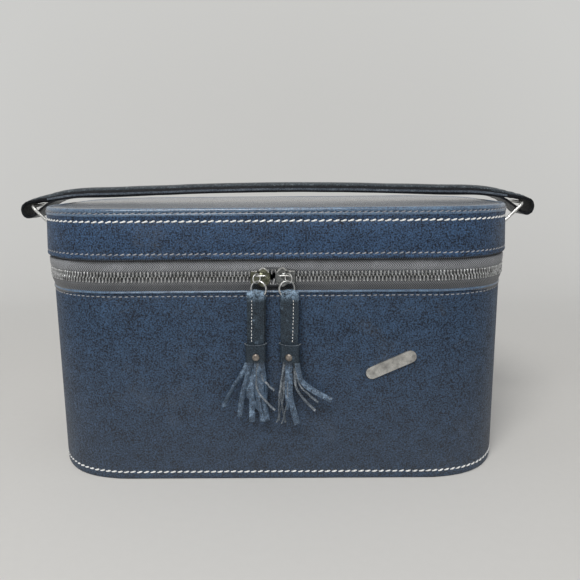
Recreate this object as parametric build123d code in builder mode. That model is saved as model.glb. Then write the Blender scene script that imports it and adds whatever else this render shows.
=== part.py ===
from build123d import *
import math
import os

os.makedirs("parts", exist_ok=True)

# A cosmetic train case: a stiff rounded box with a zipped, hinged lid and a padded carrying strap.
# Millimetres. X runs along the width, Y to the back, Z up. The origin is the centre of the base.

# Overall sizes
case_width = 330.0  # lid outline, left to right
case_depth = 190.0  # lid outline, front to back
lid_corner = 60.0  # plan radius of the lid's corners
body_height = 134.8  # up to the folded top edge of the body's wall
zip_above_body = 9.2  # from that fold up to the middle of the zip
lid_above_zip = 12.1  # from the middle of the zip up to the lid wall's lower edge
lid_height = 32.9  # from the lid wall's lower edge to the top of the piping

# Walls, from the outside in
lid_cover = 1.3
lid_board = 2.7
tape = 0.8
lid_lining = 1.6
body_cover = 1.2
body_board = 3.0
body_lining_wall = 1.0
edge_fold = 1.2
base_cover_height = 1.5
base_board_height = 3.0
base_lining_height = 1.0
base_edge_radius = 1.0
fold_edge_radius = 0.72  # outer edge of the body cover's fold
lid_foot_radius = 0.52  # lower outer edge of the lid's cover
lid_rim_radius = 1.04  # upper outer edge of the lid's cover

# Lid top
piping_radius = 1.9
piping_seat = 0.1
top_panel_drop = 0.3
top_cover_height = 1.2
top_board_height = 3.0
top_lining_height = 1.2
wall_board_foot = 1.2
lid_lining_foot = 0.5
top_edge_radius = 0.72  # upper edge of the lid's top cover

# Sewing thread, as a proud band
thread_width = 0.8
thread_proud = 0.5
lid_top_thread_drop = 8.5  # below the top of the piping
lid_edge_thread_gap = 3.4
body_edge_thread_gap = 3.7
base_thread_rise = 5.4

# Zip
tape_hidden = 12.0
tape_hidden_lid = 10.0
tape_to_parting = 1.0
tooth_gap = 0.7
tooth_row = 2.9
tooth_depth = 2.8
stop_length = 3.0
stop_gap = 1.0

# Live hinge at the back
hinge_half = 95.0
hinge_pad = 1.0
hinge_bead_radius = 0.9
hinge_axis_proud = 0.6  # axis beyond the outer face of the zip's teeth
hinge_clearance = 0.2

# Mirror in the lid
mirror_width = 222.0
mirror_depth = 112.0
mirror_corner = 20.0
mirror_height = 1.6
mirror_lip = 3.0
mirror_border = 7.0
mirror_lip_height = 0.7

# Elastic pocket on the back wall inside
pocket_width = 180.0
pocket_height = 78.0
pocket_depth = 11.0
pocket_cloth = 1.0

# Plain badge plate on the front
badge_length = 36.0
badge_width = 8.5
badge_height = 1.4
badge_edge_radius = 0.56
badge_x = 77.6
badge_drop = 51.3  # below the fold
badge_tilt = 24.0
badge_pin_radius = 0.8
badge_pin_spread = 22.0
badge_pin_length = 3.6
pin_clearance = 0.05

# Domed heads of rivets and studs: a point on the dome, as shares of its radius and height
dome_out = 0.7
dome_up = 0.72

# Carrying strap
strap_width = 25.0
strap_gap = 7.1  # from the piping's top to the strap's underside at the middle
strap_arch = 2600.0  # radius of the strap's long arch
grip_half = 108.0
strap_lower = 1.4
strap_upper = 1.3
strap_margin = 3.0
strap_crown = 4.7
end_gap = 0.3
end_rise = 5.4

# Wire rings at the strap's ends and the tabs that hold them
ring_wire = 1.2
ring_width = 30.0
ring_corner = 4.0
tab_stand_off = 4.6
tab_bar_rise = 10.4  # above the lid wall's lower edge
ring_reach = 19.9  # from the tab's bar outwards to the strap's bar
strap_bar_drop = 2.0  # strap's bar below the piping's top
tab_half = 11.0
tab_skin = 1.9
tab_foot_rise = 1.2
tab_knuckle = 3.0
tab_bore_clearance = 0.08
rivet_rise = 5.3
rivet_spread = 12.0
rivet_head = 2.0
rivet_head_height = 1.1
rivet_shank = 0.9
rivet_clearance = 0.05
rivet_stop = 0.2  # shank's end short of the lid board's inner face

# Sliders: places along the zip are distances from the middle of the pair
pair_x = -1.15
slider_nose = 2.75
slider_tail = 14.1
slider_neck = 10.6
slider_peak = 6.6
tail_half = 4.2
neck_half = 4.4
peak_half = 6.5
nose_round = 1.3  # where the nose's curve passes, as a share of the nose's distance
nose_half_share = 0.66  # and its height there, as a share of the peak's
neck_hollow = 0.2  # how far the shoulder's curve is drawn towards the nose
neck_blend = 0.3  # share of the peak in the shoulder's height at its middle
slider_plate = 1.1
slider_play = 0.1
post_start = 3.4
post_end = 6.2
post_height = 0.5
lip_height = 0.8
lip_play = 0.15
bridge_start = 4.2
bridge_end = 10.9
bridge_wire = 0.5
bridge_stand_off = 2.9
bridge_rise = 1.2
bridge_bend = 1.2

# Link, split ring and tassel of each pull
link_at = 9.5
link_radius = 2.9
link_wire = 0.5
link_play = 0.05
link_lean = 30.0
split_radius = 5.25
split_wire = 0.45
split_pitch = 0.4
split_play = 0.05
tassel_at = 11.2
pull_width = 11.2
pull_neck_width = 6.4
pull_skin = 1.4
pull_bore_half = 1.9
pull_crown_rise = 4.3
pull_half = 1.5
pull_loop_drop = 2.0  # where the loop's two layers start to draw together, below the ring
pull_join_drop = 13.0  # where they lie flat on each other
pull_slit_rise = 1.0  # the loop's opening ends this far above that
pull_round_share = 0.9  # start of the loop's round top, as a share of its half width
pull_drop = 36.0  # from the split ring's lowest point down to the strap's end
collar_rise = 4.8  # collar's top above the strap's end
collar_height = 12.4
collar_skin = 1.2
collar_play = 0.05
collar_round = 0.8  # corner radius as a share of the collar's half depth
collar_inner_corner = 0.2
stud_drop = 4.1  # stud below the strap's end
stud_radius = 2.55
stud_height = 1.3
stud_shank = 0.9
stud_play = 0.05
fringe_play = 0.4
fringe_root_drop = 9.6  # where the strips begin, below the strap's end
fringe_pitch = 3.8
fringe_strip = 3.4
fringe_leaf = 0.9
fringe_bend = 0.28  # a strip's sideways reach at half its length, as a share of the reach at its tip
cutter_over = 1.0  # how far cutting solids pass what they cut

# Values that follow from the sizes above
body_fold_z = body_height
parting_z = body_fold_z + zip_above_body
lid_edge_z = parting_z + lid_above_zip
case_height = lid_edge_z + lid_height
tape_out = lid_cover + lid_board
tape_in = tape_out + tape
body_inset = tape_out - body_cover
body_board_in = tape_out + body_board
body_lining_in = body_board_in + body_lining_wall
lid_lining_in = tape_out + lid_lining
front_y = -(case_depth / 2 - body_inset)
side_x = case_width / 2
tape_low_z = body_fold_z - tape_hidden
tape_high_z = lid_edge_z + tape_hidden_lid
tooth_out = (tape_out + tape_in - tooth_depth) / 2
tooth_in = tooth_out + tooth_depth
piping_z = case_height - piping_radius
lid_wall_top = case_height - 2 * piping_radius
panel_top = case_height - top_panel_drop
board_top = panel_top - top_cover_height
board_low = board_top - top_board_height
lining_low = board_low - top_lining_height
base_board_low = base_cover_height
base_board_top = base_board_low + base_board_height
base_top = base_board_top + base_lining_height
lid_top_thread_z = case_height - lid_top_thread_drop
tab_bar_z = lid_edge_z + tab_bar_rise
rivet_z = lid_edge_z + rivet_rise
bar_x = side_x + tab_stand_off + ring_reach
bar_z = case_height - strap_bar_drop
ring_reach_z = bar_z - tab_bar_z
strap_under_z = case_height + strap_gap
badge_z = body_fold_z - badge_drop
hinge_y = case_depth / 2 - tooth_out + hinge_axis_proud


def outline(inset):
    """The case's plan outline, drawn inset from the lid's outer face."""
    return case_width - 2 * inset, case_depth - 2 * inset, lid_corner - inset


def band(outer, inner, low, high):
    """A wall that follows the plan outline between two insets and two heights."""
    with BuildPart() as wall:
        with BuildSketch(Plane.XY.offset(low)):
            RectangleRounded(*outline(outer))
            RectangleRounded(*outline(inner), mode=Mode.SUBTRACT)
        extrude(amount=high - low)
    return wall.part


def plate(inset, low, high):
    """A flat panel that follows the plan outline."""
    with BuildPart() as panel:
        with BuildSketch(Plane.XY.offset(low)):
            RectangleRounded(*outline(inset))
        extrude(amount=high - low)
    return panel.part


def back_block(half, low, high):
    """The block behind the case's middle that splits the zip from the hinge."""
    with BuildPart() as block:
        with BuildSketch(Plane.XY.offset(low)):
            with Locations((0, case_depth / 2)):
                Rectangle(2 * half, case_depth / 2)
        extrude(amount=high - low)
    return block.part


def pegs(radius, plane, spots, length):
    """Round pegs that stand on a plane."""
    with BuildPart() as group:
        with BuildSketch(plane):
            with Locations(*spots):
                Circle(radius)
        extrude(amount=length)
    return group.part


def save(part, name):
    """Label one finished piece and write its file."""
    part.label = name
    export_step(part, f"parts/{name}.step")


# Shared cutters
front_face = Plane.XZ.offset(-front_y)
tilt = math.radians(badge_tilt)
pin_spots = [
    (badge_x + s * badge_pin_spread / 2 * math.cos(tilt), badge_z + s * badge_pin_spread / 2 * math.sin(tilt))
    for s in (-1, 1)
]
badge_holes = pegs(badge_pin_radius + pin_clearance, front_face, pin_spots, -badge_pin_length)
rivet_face = Plane.YZ.offset(side_x + tab_skin)
rivet_spots = [(s * rivet_spread / 2, rivet_z) for s in (-1, 1)]
rivet_length = tab_skin + tape_out - rivet_stop
rivet_hole_right = pegs(rivet_shank + rivet_clearance, rivet_face, rivet_spots, -rivet_length)
rivet_hole_left = mirror(rivet_hole_right, about=Plane.YZ)
whole_tape = band(tape_out, tape_in, tape_low_z, tape_high_z)

# Base
with BuildPart() as base_cover:
    add(plate(body_inset, 0, base_cover_height))
    fillet(base_cover.edges().group_by(Axis.Z)[0], base_edge_radius)
save(base_cover.part, "base_cover")

with BuildPart() as base_board:
    add(plate(tape_out, base_board_low, base_board_top))
save(base_board.part, "base_board")

with BuildPart() as base_lining:
    add(plate(body_lining_in, base_board_top, base_top))
save(base_lining.part, "base_lining")

# Body wall
with BuildPart() as body_wall_cover:
    add(band(body_inset, tape_out, base_cover_height, body_fold_z))
    fillet(body_wall_cover.faces().sort_by(Axis.Z)[-1].outer_wire().edges(), fold_edge_radius)
    add(badge_holes, mode=Mode.SUBTRACT)
save(body_wall_cover.part, "body_wall_cover")

with BuildPart() as body_wall_board:
    add(band(tape_out, body_board_in, base_board_top, body_fold_z - edge_fold))
    add(whole_tape, mode=Mode.SUBTRACT)
    add(badge_holes, mode=Mode.SUBTRACT)
save(body_wall_board.part, "body_wall_board")

with BuildPart() as body_wall_lining:
    add(band(body_board_in, body_lining_in, base_board_top, body_fold_z - edge_fold))
    add(band(tape_in, body_lining_in, body_fold_z - edge_fold, body_fold_z))
save(body_wall_lining.part, "body_wall_lining")


def thread(inset, middle, name):
    """A line of stitching around the case, seated on the cover."""
    with BuildPart() as line:
        add(band(inset - thread_proud, inset, middle - thread_width / 2, middle + thread_width / 2))
    save(line.part, name)


thread(body_inset, base_thread_rise, "base_stitching")
thread(body_inset, body_fold_z - body_edge_thread_gap, "body_edge_stitching")
thread(0, lid_edge_z + lid_edge_thread_gap, "lid_edge_stitching")
thread(0, lid_top_thread_z, "lid_top_stitching")

# Zip tapes and rows of teeth, open at the back where the hinge is
back_gap = back_block(hinge_half, 0, case_height)
teeth_gap = back_block(hinge_half + stop_gap + stop_length, 0, case_height)
lower_tape_top = parting_z - tape_to_parting
upper_tape_low = parting_z + tape_to_parting

with BuildPart() as zip_tape_lower:
    add(band(tape_out, tape_in, tape_low_z, lower_tape_top))
    add(back_gap, mode=Mode.SUBTRACT)
save(zip_tape_lower.part, "zip_tape_lower")

with BuildPart() as zip_tape_upper:
    add(band(tape_out, tape_in, upper_tape_low, tape_high_z))
    add(back_gap, mode=Mode.SUBTRACT)
save(zip_tape_upper.part, "zip_tape_upper")

with BuildPart() as zip_teeth_lower:
    add(band(tooth_out, tooth_in, parting_z - tooth_gap / 2 - tooth_row, parting_z - tooth_gap / 2))
    add(band(tape_out, tape_in, tape_low_z, lower_tape_top), mode=Mode.SUBTRACT)
    add(teeth_gap, mode=Mode.SUBTRACT)
save(zip_teeth_lower.part, "zip_teeth_lower")

with BuildPart() as zip_teeth_upper:
    add(band(tooth_out, tooth_in, parting_z + tooth_gap / 2, parting_z + tooth_gap / 2 + tooth_row))
    add(band(tape_out, tape_in, upper_tape_low, tape_high_z), mode=Mode.SUBTRACT)
    add(teeth_gap, mode=Mode.SUBTRACT)
save(zip_teeth_upper.part, "zip_teeth_upper")

# End stops of the zip, clamped on the lower tape beside the hinge
stop_x = hinge_half + (stop_gap + stop_length) / 2
with BuildPart() as zip_end_stops:
    with BuildSketch(Plane.XY.offset(parting_z - tooth_gap / 2 - tooth_row)):
        for side in (-1, 1):
            with Locations((side * stop_x, case_depth / 2 - (tooth_out + tooth_in) / 2)):
                Rectangle(stop_length, tooth_depth)
    extrude(amount=tooth_row)
    add(band(tape_out, tape_in, tape_low_z, lower_tape_top), mode=Mode.SUBTRACT)
save(zip_end_stops.part, "zip_end_stops")

# Live hinge: a lower panel that ends in a bead on the axis, and an upper panel on the lid
pad_out = tape_out - hinge_pad

with BuildPart() as hinge_panel_lower:
    add(band(tape_out, tape_in, tape_low_z, body_fold_z + hinge_clearance))
    add(band(pad_out, tape_in, body_fold_z + hinge_clearance, parting_z))
    add(back_block(hinge_half, 0, case_height), mode=Mode.INTERSECT)
    with BuildSketch(Plane.YZ.offset(-hinge_half)):
        with Locations((hinge_y, parting_z)):
            Circle(hinge_bead_radius)
    extrude(amount=2 * hinge_half)
save(hinge_panel_lower.part, "hinge_panel_lower")

with BuildPart() as hinge_panel_upper:
    upper_low = parting_z + hinge_bead_radius + hinge_clearance
    add(band(pad_out, tape_in, upper_low, lid_edge_z - hinge_clearance))
    add(band(tape_out, tape_in, lid_edge_z - hinge_clearance, tape_high_z))
    add(back_block(hinge_half, 0, case_height), mode=Mode.INTERSECT)
save(hinge_panel_upper.part, "hinge_panel_upper")

# Lid wall
with BuildPart() as lid_wall_cover:
    add(band(0, lid_cover, lid_edge_z, lid_wall_top))
    fillet(lid_wall_cover.faces().sort_by(Axis.Z)[-1].outer_wire().edges(), lid_rim_radius)
    fillet(lid_wall_cover.faces().sort_by(Axis.Z)[0].outer_wire().edges(), lid_foot_radius)
    add(rivet_hole_left, mode=Mode.SUBTRACT)
    add(rivet_hole_right, mode=Mode.SUBTRACT)
save(lid_wall_cover.part, "lid_wall_cover")

with BuildPart() as lid_wall_board:
    add(band(lid_cover, tape_out, lid_edge_z + wall_board_foot, lid_wall_top - 2 * piping_seat))
    add(rivet_hole_left, mode=Mode.SUBTRACT)
    add(rivet_hole_right, mode=Mode.SUBTRACT)
save(lid_wall_board.part, "lid_wall_board")

with BuildPart() as lid_wall_lining:
    add(band(tape_out, lid_lining_in, lid_edge_z + lid_lining_foot, lining_low))
    add(whole_tape, mode=Mode.SUBTRACT)
save(lid_wall_lining.part, "lid_wall_lining")

# Lid top: board, cover, lining and the piping sewn around the edge
with BuildPart() as lid_top_board:
    add(plate(tape_out, board_low, board_top))
save(lid_top_board.part, "lid_top_board")

with BuildPart() as lid_top_cover:
    add(plate(2 * piping_radius + piping_seat, board_top, panel_top))
    fillet(lid_top_cover.edges().group_by(Axis.Z)[-1], top_edge_radius)
save(lid_top_cover.part, "lid_top_cover")

with BuildPart() as lid_top_lining:
    add(plate(tape_out, lining_low, board_low))
save(lid_top_lining.part, "lid_top_lining")

piping_path = Plane.XY.offset(piping_z) * RectangleRounded(*outline(piping_radius)).face().outer_wire()
with BuildPart() as lid_piping:
    with BuildSketch(Plane(origin=piping_path @ 0, z_dir=piping_path % 0)):
        Circle(piping_radius)
    sweep(path=piping_path)
save(lid_piping.part, "lid_piping")

# Mirror and its sewn border
frame_low = lining_low - mirror_height - mirror_lip_height


def mirror_sheet(grow, low, high):
    """A rounded rectangle of the mirror's shape, larger or smaller by grow on each side."""
    with BuildPart() as sheet:
        with BuildSketch(Plane.XY.offset(low)):
            RectangleRounded(mirror_width + 2 * grow, mirror_depth + 2 * grow, mirror_corner + grow)
        extrude(amount=high - low)
    return sheet.part


with BuildPart() as mirror_glass:
    add(mirror_sheet(0, lining_low - mirror_height, lining_low))
save(mirror_glass.part, "mirror_glass")

with BuildPart() as mirror_border_ring:
    add(mirror_sheet(mirror_border, frame_low, lining_low))
    add(mirror_sheet(0, lining_low - mirror_height, lining_low), mode=Mode.SUBTRACT)
    add(mirror_sheet(-mirror_lip, frame_low, lining_low), mode=Mode.SUBTRACT)
save(mirror_border_ring.part, "mirror_border")

# Elastic pocket on the back lining
pocket_back_y = case_depth / 2 - body_lining_in
with BuildPart() as inner_pocket:
    with BuildSketch(Plane.XY.offset(base_top)):
        with Locations((0, pocket_back_y - pocket_depth / 2)):
            Rectangle(pocket_width, pocket_depth)
        with Locations((0, pocket_back_y - (pocket_depth - pocket_cloth) / 2)):
            Rectangle(pocket_width - 2 * pocket_cloth, pocket_depth - pocket_cloth, mode=Mode.SUBTRACT)
    extrude(amount=pocket_height)
    with BuildSketch(Plane.XY.offset(base_top)):
        with Locations((0, pocket_back_y - pocket_depth / 2)):
            Rectangle(pocket_width, pocket_depth)
    extrude(amount=pocket_cloth)
save(inner_pocket.part, "inner_pocket")

# Badge plate with two pins through the front
with BuildPart() as badge_plate:
    with BuildSketch(front_face):
        with Locations(Location((badge_x, badge_z), badge_tilt)):
            SlotOverall(badge_length, badge_width)
    extrude(amount=badge_height)
    fillet(badge_plate.faces().sort_by(Axis.Y)[0].edges(), badge_edge_radius)
    add(pegs(badge_pin_radius, front_face, pin_spots, -badge_pin_length))
save(badge_plate.part, "badge_plate")

# Strap: the middle is a padded sandwich bent along a long arch
arch_centre_z = strap_under_z - strap_arch
arch_axis = Axis((0, 0, arch_centre_z), (0, 1, 0))
grip_angle = math.asin(grip_half / strap_arch)
grip_start = Plane(
    origin=(0, 0, arch_centre_z),
    x_dir=(0, 1, 0),
    z_dir=(math.cos(grip_angle), 0, math.sin(grip_angle)),
)
edge_y = strap_width / 2
crown_y = edge_y - strap_margin
lower_top = strap_arch + strap_lower
upper_top = lower_top + strap_upper


def crown(height):
    """Half-lens line over the padding, from margin to margin."""
    return ThreePointArc((crown_y, height), (0, height + strap_crown), (-crown_y, height))


def bend():
    """Turn the open sketch along the strap's arch."""
    revolve(axis=arch_axis, revolution_arc=2 * math.degrees(grip_angle))


with BuildPart() as handle_lower_layer:
    with BuildSketch(grip_start):
        with Locations((0, strap_arch + strap_lower / 2)):
            Rectangle(strap_width, strap_lower)
    bend()
save(handle_lower_layer.part, "handle_lower_layer")

with BuildPart() as handle_padding:
    with BuildSketch(grip_start):
        with BuildLine():
            crown(lower_top)
            Line((-crown_y, lower_top), (crown_y, lower_top))
        make_face()
    bend()
save(handle_padding.part, "handle_padding")

with BuildPart() as handle_upper_layer:
    with BuildSketch(grip_start):
        with BuildLine():
            crown(upper_top)
            Polyline((-crown_y, upper_top), (-edge_y, upper_top), (-edge_y, lower_top), (-crown_y, lower_top))
            crown(lower_top)
            Polyline((crown_y, lower_top), (edge_y, lower_top), (edge_y, upper_top), (crown_y, upper_top))
        make_face()
    bend()
save(handle_upper_layer.part, "handle_upper_layer")

# Strap ends: one leather strip folded round the ring's outer bar, drawn for the right side
end_x = grip_half + end_gap
end_z = arch_centre_z + math.sqrt(strap_arch**2 - end_x**2)


def near_bar(dx, dz):
    """A point given from the ring's outer bar."""
    return (bar_x + dx, bar_z + dz)


def strap_end(side, name):
    """One folded end of the strap, with the loop's hollow left open."""
    with BuildPart() as end:
        with BuildSketch(Plane.XZ.offset(-edge_y)):
            with BuildLine():
                Spline((end_x, end_z + end_rise), near_bar(-38, 10.2), near_bar(-14, 6.4), near_bar(0, 3.8))
                Spline(near_bar(0, 3.8), near_bar(8.3, -0.6), near_bar(9.8, -6.0), near_bar(5.0, -11.2))
                Spline(near_bar(5.0, -11.2), near_bar(-4.7, -4.3), near_bar(-12.4, 0.6), near_bar(-22.6, 3.5))
                Spline(near_bar(-22.6, 3.5), near_bar(-47, 5.2), (end_x, end_z))
                Line((end_x, end_z), (end_x, end_z + end_rise))
            make_face()
            with BuildLine():
                Spline(near_bar(-26, 5.9), near_bar(-14, 4.3), near_bar(0, 2.0), near_bar(6.7, -1.5))
                Spline(near_bar(6.7, -1.5), near_bar(8.1, -5.4), near_bar(5.2, -8.8))
                Spline(near_bar(5.2, -8.8), near_bar(-3.6, -2.9), near_bar(-11.4, 1.9))
                Line(near_bar(-11.4, 1.9), near_bar(-26, 5.9))
            make_face(mode=Mode.SUBTRACT)
        extrude(amount=strap_width)
    save(end.part if side > 0 else mirror(end.part, about=Plane.YZ), name)


strap_end(-1, "handle_end_left")
strap_end(1, "handle_end_right")


# Rings: rectangular wire loops between the tabs and the strap's ends
def wire_ring(side, name):
    """A rounded rectangle of wire in a plane that slopes up and outwards."""
    length = math.hypot(ring_reach, ring_reach_z)
    middle = (side * (bar_x - ring_reach / 2), 0, bar_z - ring_reach_z / 2)
    slope = Plane(origin=middle, x_dir=(0, 1, 0), z_dir=(-side * ring_reach_z, 0, ring_reach))
    path = slope * RectangleRounded(ring_width, length, ring_corner).face().outer_wire()
    with BuildPart() as ring:
        with BuildSketch(Plane(origin=path @ 0, z_dir=path % 0)):
            Circle(ring_wire)
        sweep(path=path)
    save(ring.part, name)


wire_ring(-1, "handle_ring_left")
wire_ring(1, "handle_ring_right")


# Tabs on the lid's sides: a flat foot, and a knuckle round the ring's inner bar
def ring_tab(side, name):
    """A leather tab drawn for the right side of the lid."""
    tab_foot_z = lid_edge_z + tab_foot_rise
    with BuildPart() as tab:
        with BuildSketch(Plane.XZ.offset(-tab_half)):
            with Locations((side_x + tab_skin / 2, (tab_foot_z + tab_bar_z + tab_knuckle) / 2)):
                Rectangle(tab_skin, tab_bar_z + tab_knuckle - tab_foot_z)
            with Locations((side_x + (tab_skin + tab_stand_off) / 2, tab_bar_z)):
                Rectangle(tab_stand_off - tab_skin, 2 * tab_knuckle)
            with Locations((side_x + tab_stand_off, tab_bar_z)):
                Circle(tab_knuckle)
                Circle(ring_wire + tab_bore_clearance, mode=Mode.SUBTRACT)
        extrude(amount=2 * tab_half)
        add(rivet_hole_right, mode=Mode.SUBTRACT)
        edge_line = lid_edge_z + lid_edge_thread_gap
        add(
            band(-thread_proud, 0, edge_line - thread_width / 2, edge_line + thread_width / 2),
            mode=Mode.SUBTRACT,
        )
    save(tab.part if side > 0 else mirror(tab.part, about=Plane.YZ), name)


ring_tab(-1, "handle_tab_left")
ring_tab(1, "handle_tab_right")

with BuildPart() as tab_rivets:
    for spot in rivet_spots:
        with BuildSketch(Plane.XY.offset(spot[1])):
            with BuildLine():
                head_x = side_x + tab_skin
                Line((head_x - rivet_length, spot[0]), (head_x + rivet_head_height, spot[0]))
                ThreePointArc(
                    (head_x + rivet_head_height, spot[0]),
                    (head_x + rivet_head_height * dome_up, spot[0] + rivet_head * dome_out),
                    (head_x, spot[0] + rivet_head),
                )
                Polyline(
                    (head_x, spot[0] + rivet_head),
                    (head_x, spot[0] + rivet_shank),
                    (head_x - rivet_length, spot[0] + rivet_shank),
                    (head_x - rivet_length, spot[0]),
                )
            make_face()
        revolve(axis=Axis((0, spot[0], spot[1]), (1, 0, 0)))
    mirror(about=Plane.YZ)
save(tab_rivets.part, "tab_rivets")

# Zip sliders and their pulls
plate_front_y = -(case_depth / 2 - tooth_out) - slider_play
plate_back_y = -(case_depth / 2 - tooth_in) + slider_play
bar_y = plate_front_y - slider_plate - bridge_stand_off
bar_line_z = parting_z + bridge_rise
link_drop = link_radius - link_wire - bridge_wire - link_play
lean = math.radians(link_lean)
link_y = bar_y - link_drop * math.sin(lean)
link_z = bar_line_z - link_drop * math.cos(lean)
split_top_z = link_z - (link_radius - link_wire - split_play - split_wire - split_pitch)
split_z = split_top_z - split_radius
pull_pivot_z = split_z - split_radius
pull_top_z = pull_pivot_z + pull_crown_rise
pull_end_z = pull_pivot_z - pull_drop
collar_top_z = pull_end_z + collar_rise
stud_z = pull_end_z - stud_drop
fringe_root_z = pull_end_z - fringe_root_drop
shoulder_at = (slider_neck + slider_peak) / 2 - neck_hollow
shoulder_half = neck_half * (1 - neck_blend) + peak_half * neck_blend
collar_half_x = pull_width / 2 + collar_play + collar_skin
collar_half_y = pull_half + collar_play + collar_skin


def slider(side, label):
    """Body, bridge, link, split ring, strap, collar, stud and fringe of one zip slider."""

    def at(offset, height=0.0):
        """A point on a front-facing plane, from the middle of the pair and the zip's middle line."""
        return (pair_x + side * offset, parting_z + height)

    # Slider body: two plates joined by a thin post that runs between the rows
    with BuildPart() as body:
        for face in (plate_front_y - slider_plate, plate_back_y):
            with BuildSketch(Plane.XZ.offset(-face)):
                with BuildLine():
                    Line(at(slider_tail, -tail_half), at(slider_tail, tail_half))
                    for half in (-1, 1):
                        Line(at(slider_tail, half * tail_half), at(slider_neck, half * neck_half))
                        ThreePointArc(
                            at(slider_neck, half * neck_half),
                            at(shoulder_at, half * shoulder_half),
                            at(slider_peak, half * peak_half),
                        )
                        ThreePointArc(
                            at(slider_peak, half * peak_half),
                            at(slider_nose * nose_round, half * peak_half * nose_half_share),
                            at(slider_nose, 0),
                        )
                make_face()
            extrude(amount=-slider_plate)
        with BuildSketch(Plane.XZ.offset(-plate_front_y)):
            with Locations(at((post_start + post_end) / 2)):
                Rectangle(post_end - post_start, post_height)
        extrude(amount=-(plate_back_y - plate_front_y))
        lip_low = -(tooth_gap / 2 + tooth_row + lip_play + lip_height)
        lip_reach = (tooth_depth - tape) / 2 + slider_play - lip_play
        for face, depth in ((plate_front_y, -lip_reach), (plate_back_y, lip_reach)):
            with BuildSketch(Plane.XZ.offset(-face)):
                with Locations(at((slider_tail + slider_neck) / 2, lip_low + lip_height / 2)):
                    Rectangle(slider_tail - slider_neck, lip_height)
            extrude(amount=depth)
    save(body.part, f"slider_{label}")

    # Bridge: a wire bail on the slider's front
    bridge_z = Plane.XY.offset(bar_line_z)
    seat = plate_front_y - slider_plate
    start = pair_x + side * bridge_start
    stop = pair_x + side * bridge_end
    path = FilletPolyline((start, seat), (start, bar_y), (stop, bar_y), (stop, seat), radius=bridge_bend)
    path = bridge_z * path
    with BuildPart() as bridge:
        with BuildSketch(Plane(origin=path @ 0, z_dir=path % 0)):
            Circle(bridge_wire)
        sweep(path=path)
    save(bridge.part, f"slider_bridge_{label}")

    # Link: a small closed wire loop round the bridge
    link_x = pair_x + side * link_at
    with BuildPart() as link:
        with BuildSketch(Plane.XY.offset(link_z)):
            with Locations((link_x, link_y - link_radius)):
                Circle(link_wire)
        revolve(axis=Axis((0, link_y, link_z), (1, 0, 0)))
    save(link.part, f"pull_link_{label}")

    # Split ring: two turns of wire side by side
    with BuildPart() as split_ring:
        with BuildSketch(Plane.XY.offset(split_z)):
            with Locations(
                (link_x + split_radius, link_y - split_pitch), (link_x + split_radius, link_y + split_pitch)
            ):
                Circle(split_wire)
        revolve(axis=Axis((link_x, link_y, split_z), (0, 1, 0)))
    save(split_ring.part, f"pull_ring_{label}")

    # Strap: one leather strip folded over the split ring
    tassel_x = pair_x + side * tassel_at
    loop_half = pull_bore_half + pull_skin
    shoulder_z = pull_top_z - loop_half * pull_round_share
    with BuildPart() as pull_strap:
        with BuildSketch(Plane.YZ.offset(tassel_x - pull_width / 2)):
            with BuildLine():
                Polyline(
                    (link_y - loop_half, shoulder_z),
                    (link_y - loop_half, pull_pivot_z - pull_loop_drop),
                    (link_y - pull_half, pull_pivot_z - pull_join_drop),
                    (link_y - pull_half, pull_end_z),
                    (link_y + pull_half, pull_end_z),
                    (link_y + pull_half, pull_pivot_z - pull_join_drop),
                    (link_y + loop_half, pull_pivot_z - pull_loop_drop),
                    (link_y + loop_half, shoulder_z),
                )
                ThreePointArc(
                    (link_y + loop_half, shoulder_z), (link_y, pull_top_z), (link_y - loop_half, shoulder_z)
                )
            make_face()
            with BuildLine():
                Polyline(
                    (link_y - pull_bore_half, shoulder_z),
                    (link_y - pull_bore_half, pull_pivot_z - pull_loop_drop),
                    (link_y, pull_pivot_z - pull_join_drop + pull_slit_rise),
                    (link_y + pull_bore_half, pull_pivot_z - pull_loop_drop),
                    (link_y + pull_bore_half, shoulder_z),
                )
                ThreePointArc(
                    (link_y + pull_bore_half, shoulder_z),
                    (link_y, pull_top_z - pull_skin),
                    (link_y - pull_bore_half, shoulder_z),
                )
            make_face(mode=Mode.SUBTRACT)
        extrude(amount=pull_width)
        with BuildSketch(Plane.XZ.offset(-(link_y + loop_half + cutter_over))):
            for way in (-1, 1):
                with Locations((link_x + way * (pull_neck_width + pull_width) / 2, pull_top_z)):
                    Rectangle(pull_width, 2 * (pull_crown_rise + cutter_over / 2))
        extrude(amount=2 * (loop_half + cutter_over), mode=Mode.SUBTRACT)
    save(pull_strap.part, f"pull_strap_{label}")

    # Collar: a band of leather round the strap's end and the head of the fringe
    collar_low = collar_top_z - collar_height
    stud_plane = Plane.XZ.offset(-(link_y - collar_half_y))
    hole = pegs(stud_shank + stud_play, stud_plane, [(tassel_x, stud_z)], -2 * collar_half_y)
    with BuildPart() as collar:
        with BuildSketch(Plane.XY.offset(collar_low)):
            with Locations((tassel_x, link_y)):
                RectangleRounded(2 * collar_half_x, 2 * collar_half_y, collar_half_y * collar_round)
                RectangleRounded(
                    2 * (collar_half_x - collar_skin),
                    2 * (collar_half_y - collar_skin),
                    collar_inner_corner,
                    mode=Mode.SUBTRACT,
                )
        extrude(amount=collar_height)
        add(hole, mode=Mode.SUBTRACT)
    save(collar.part, f"tassel_collar_{label}")

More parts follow.
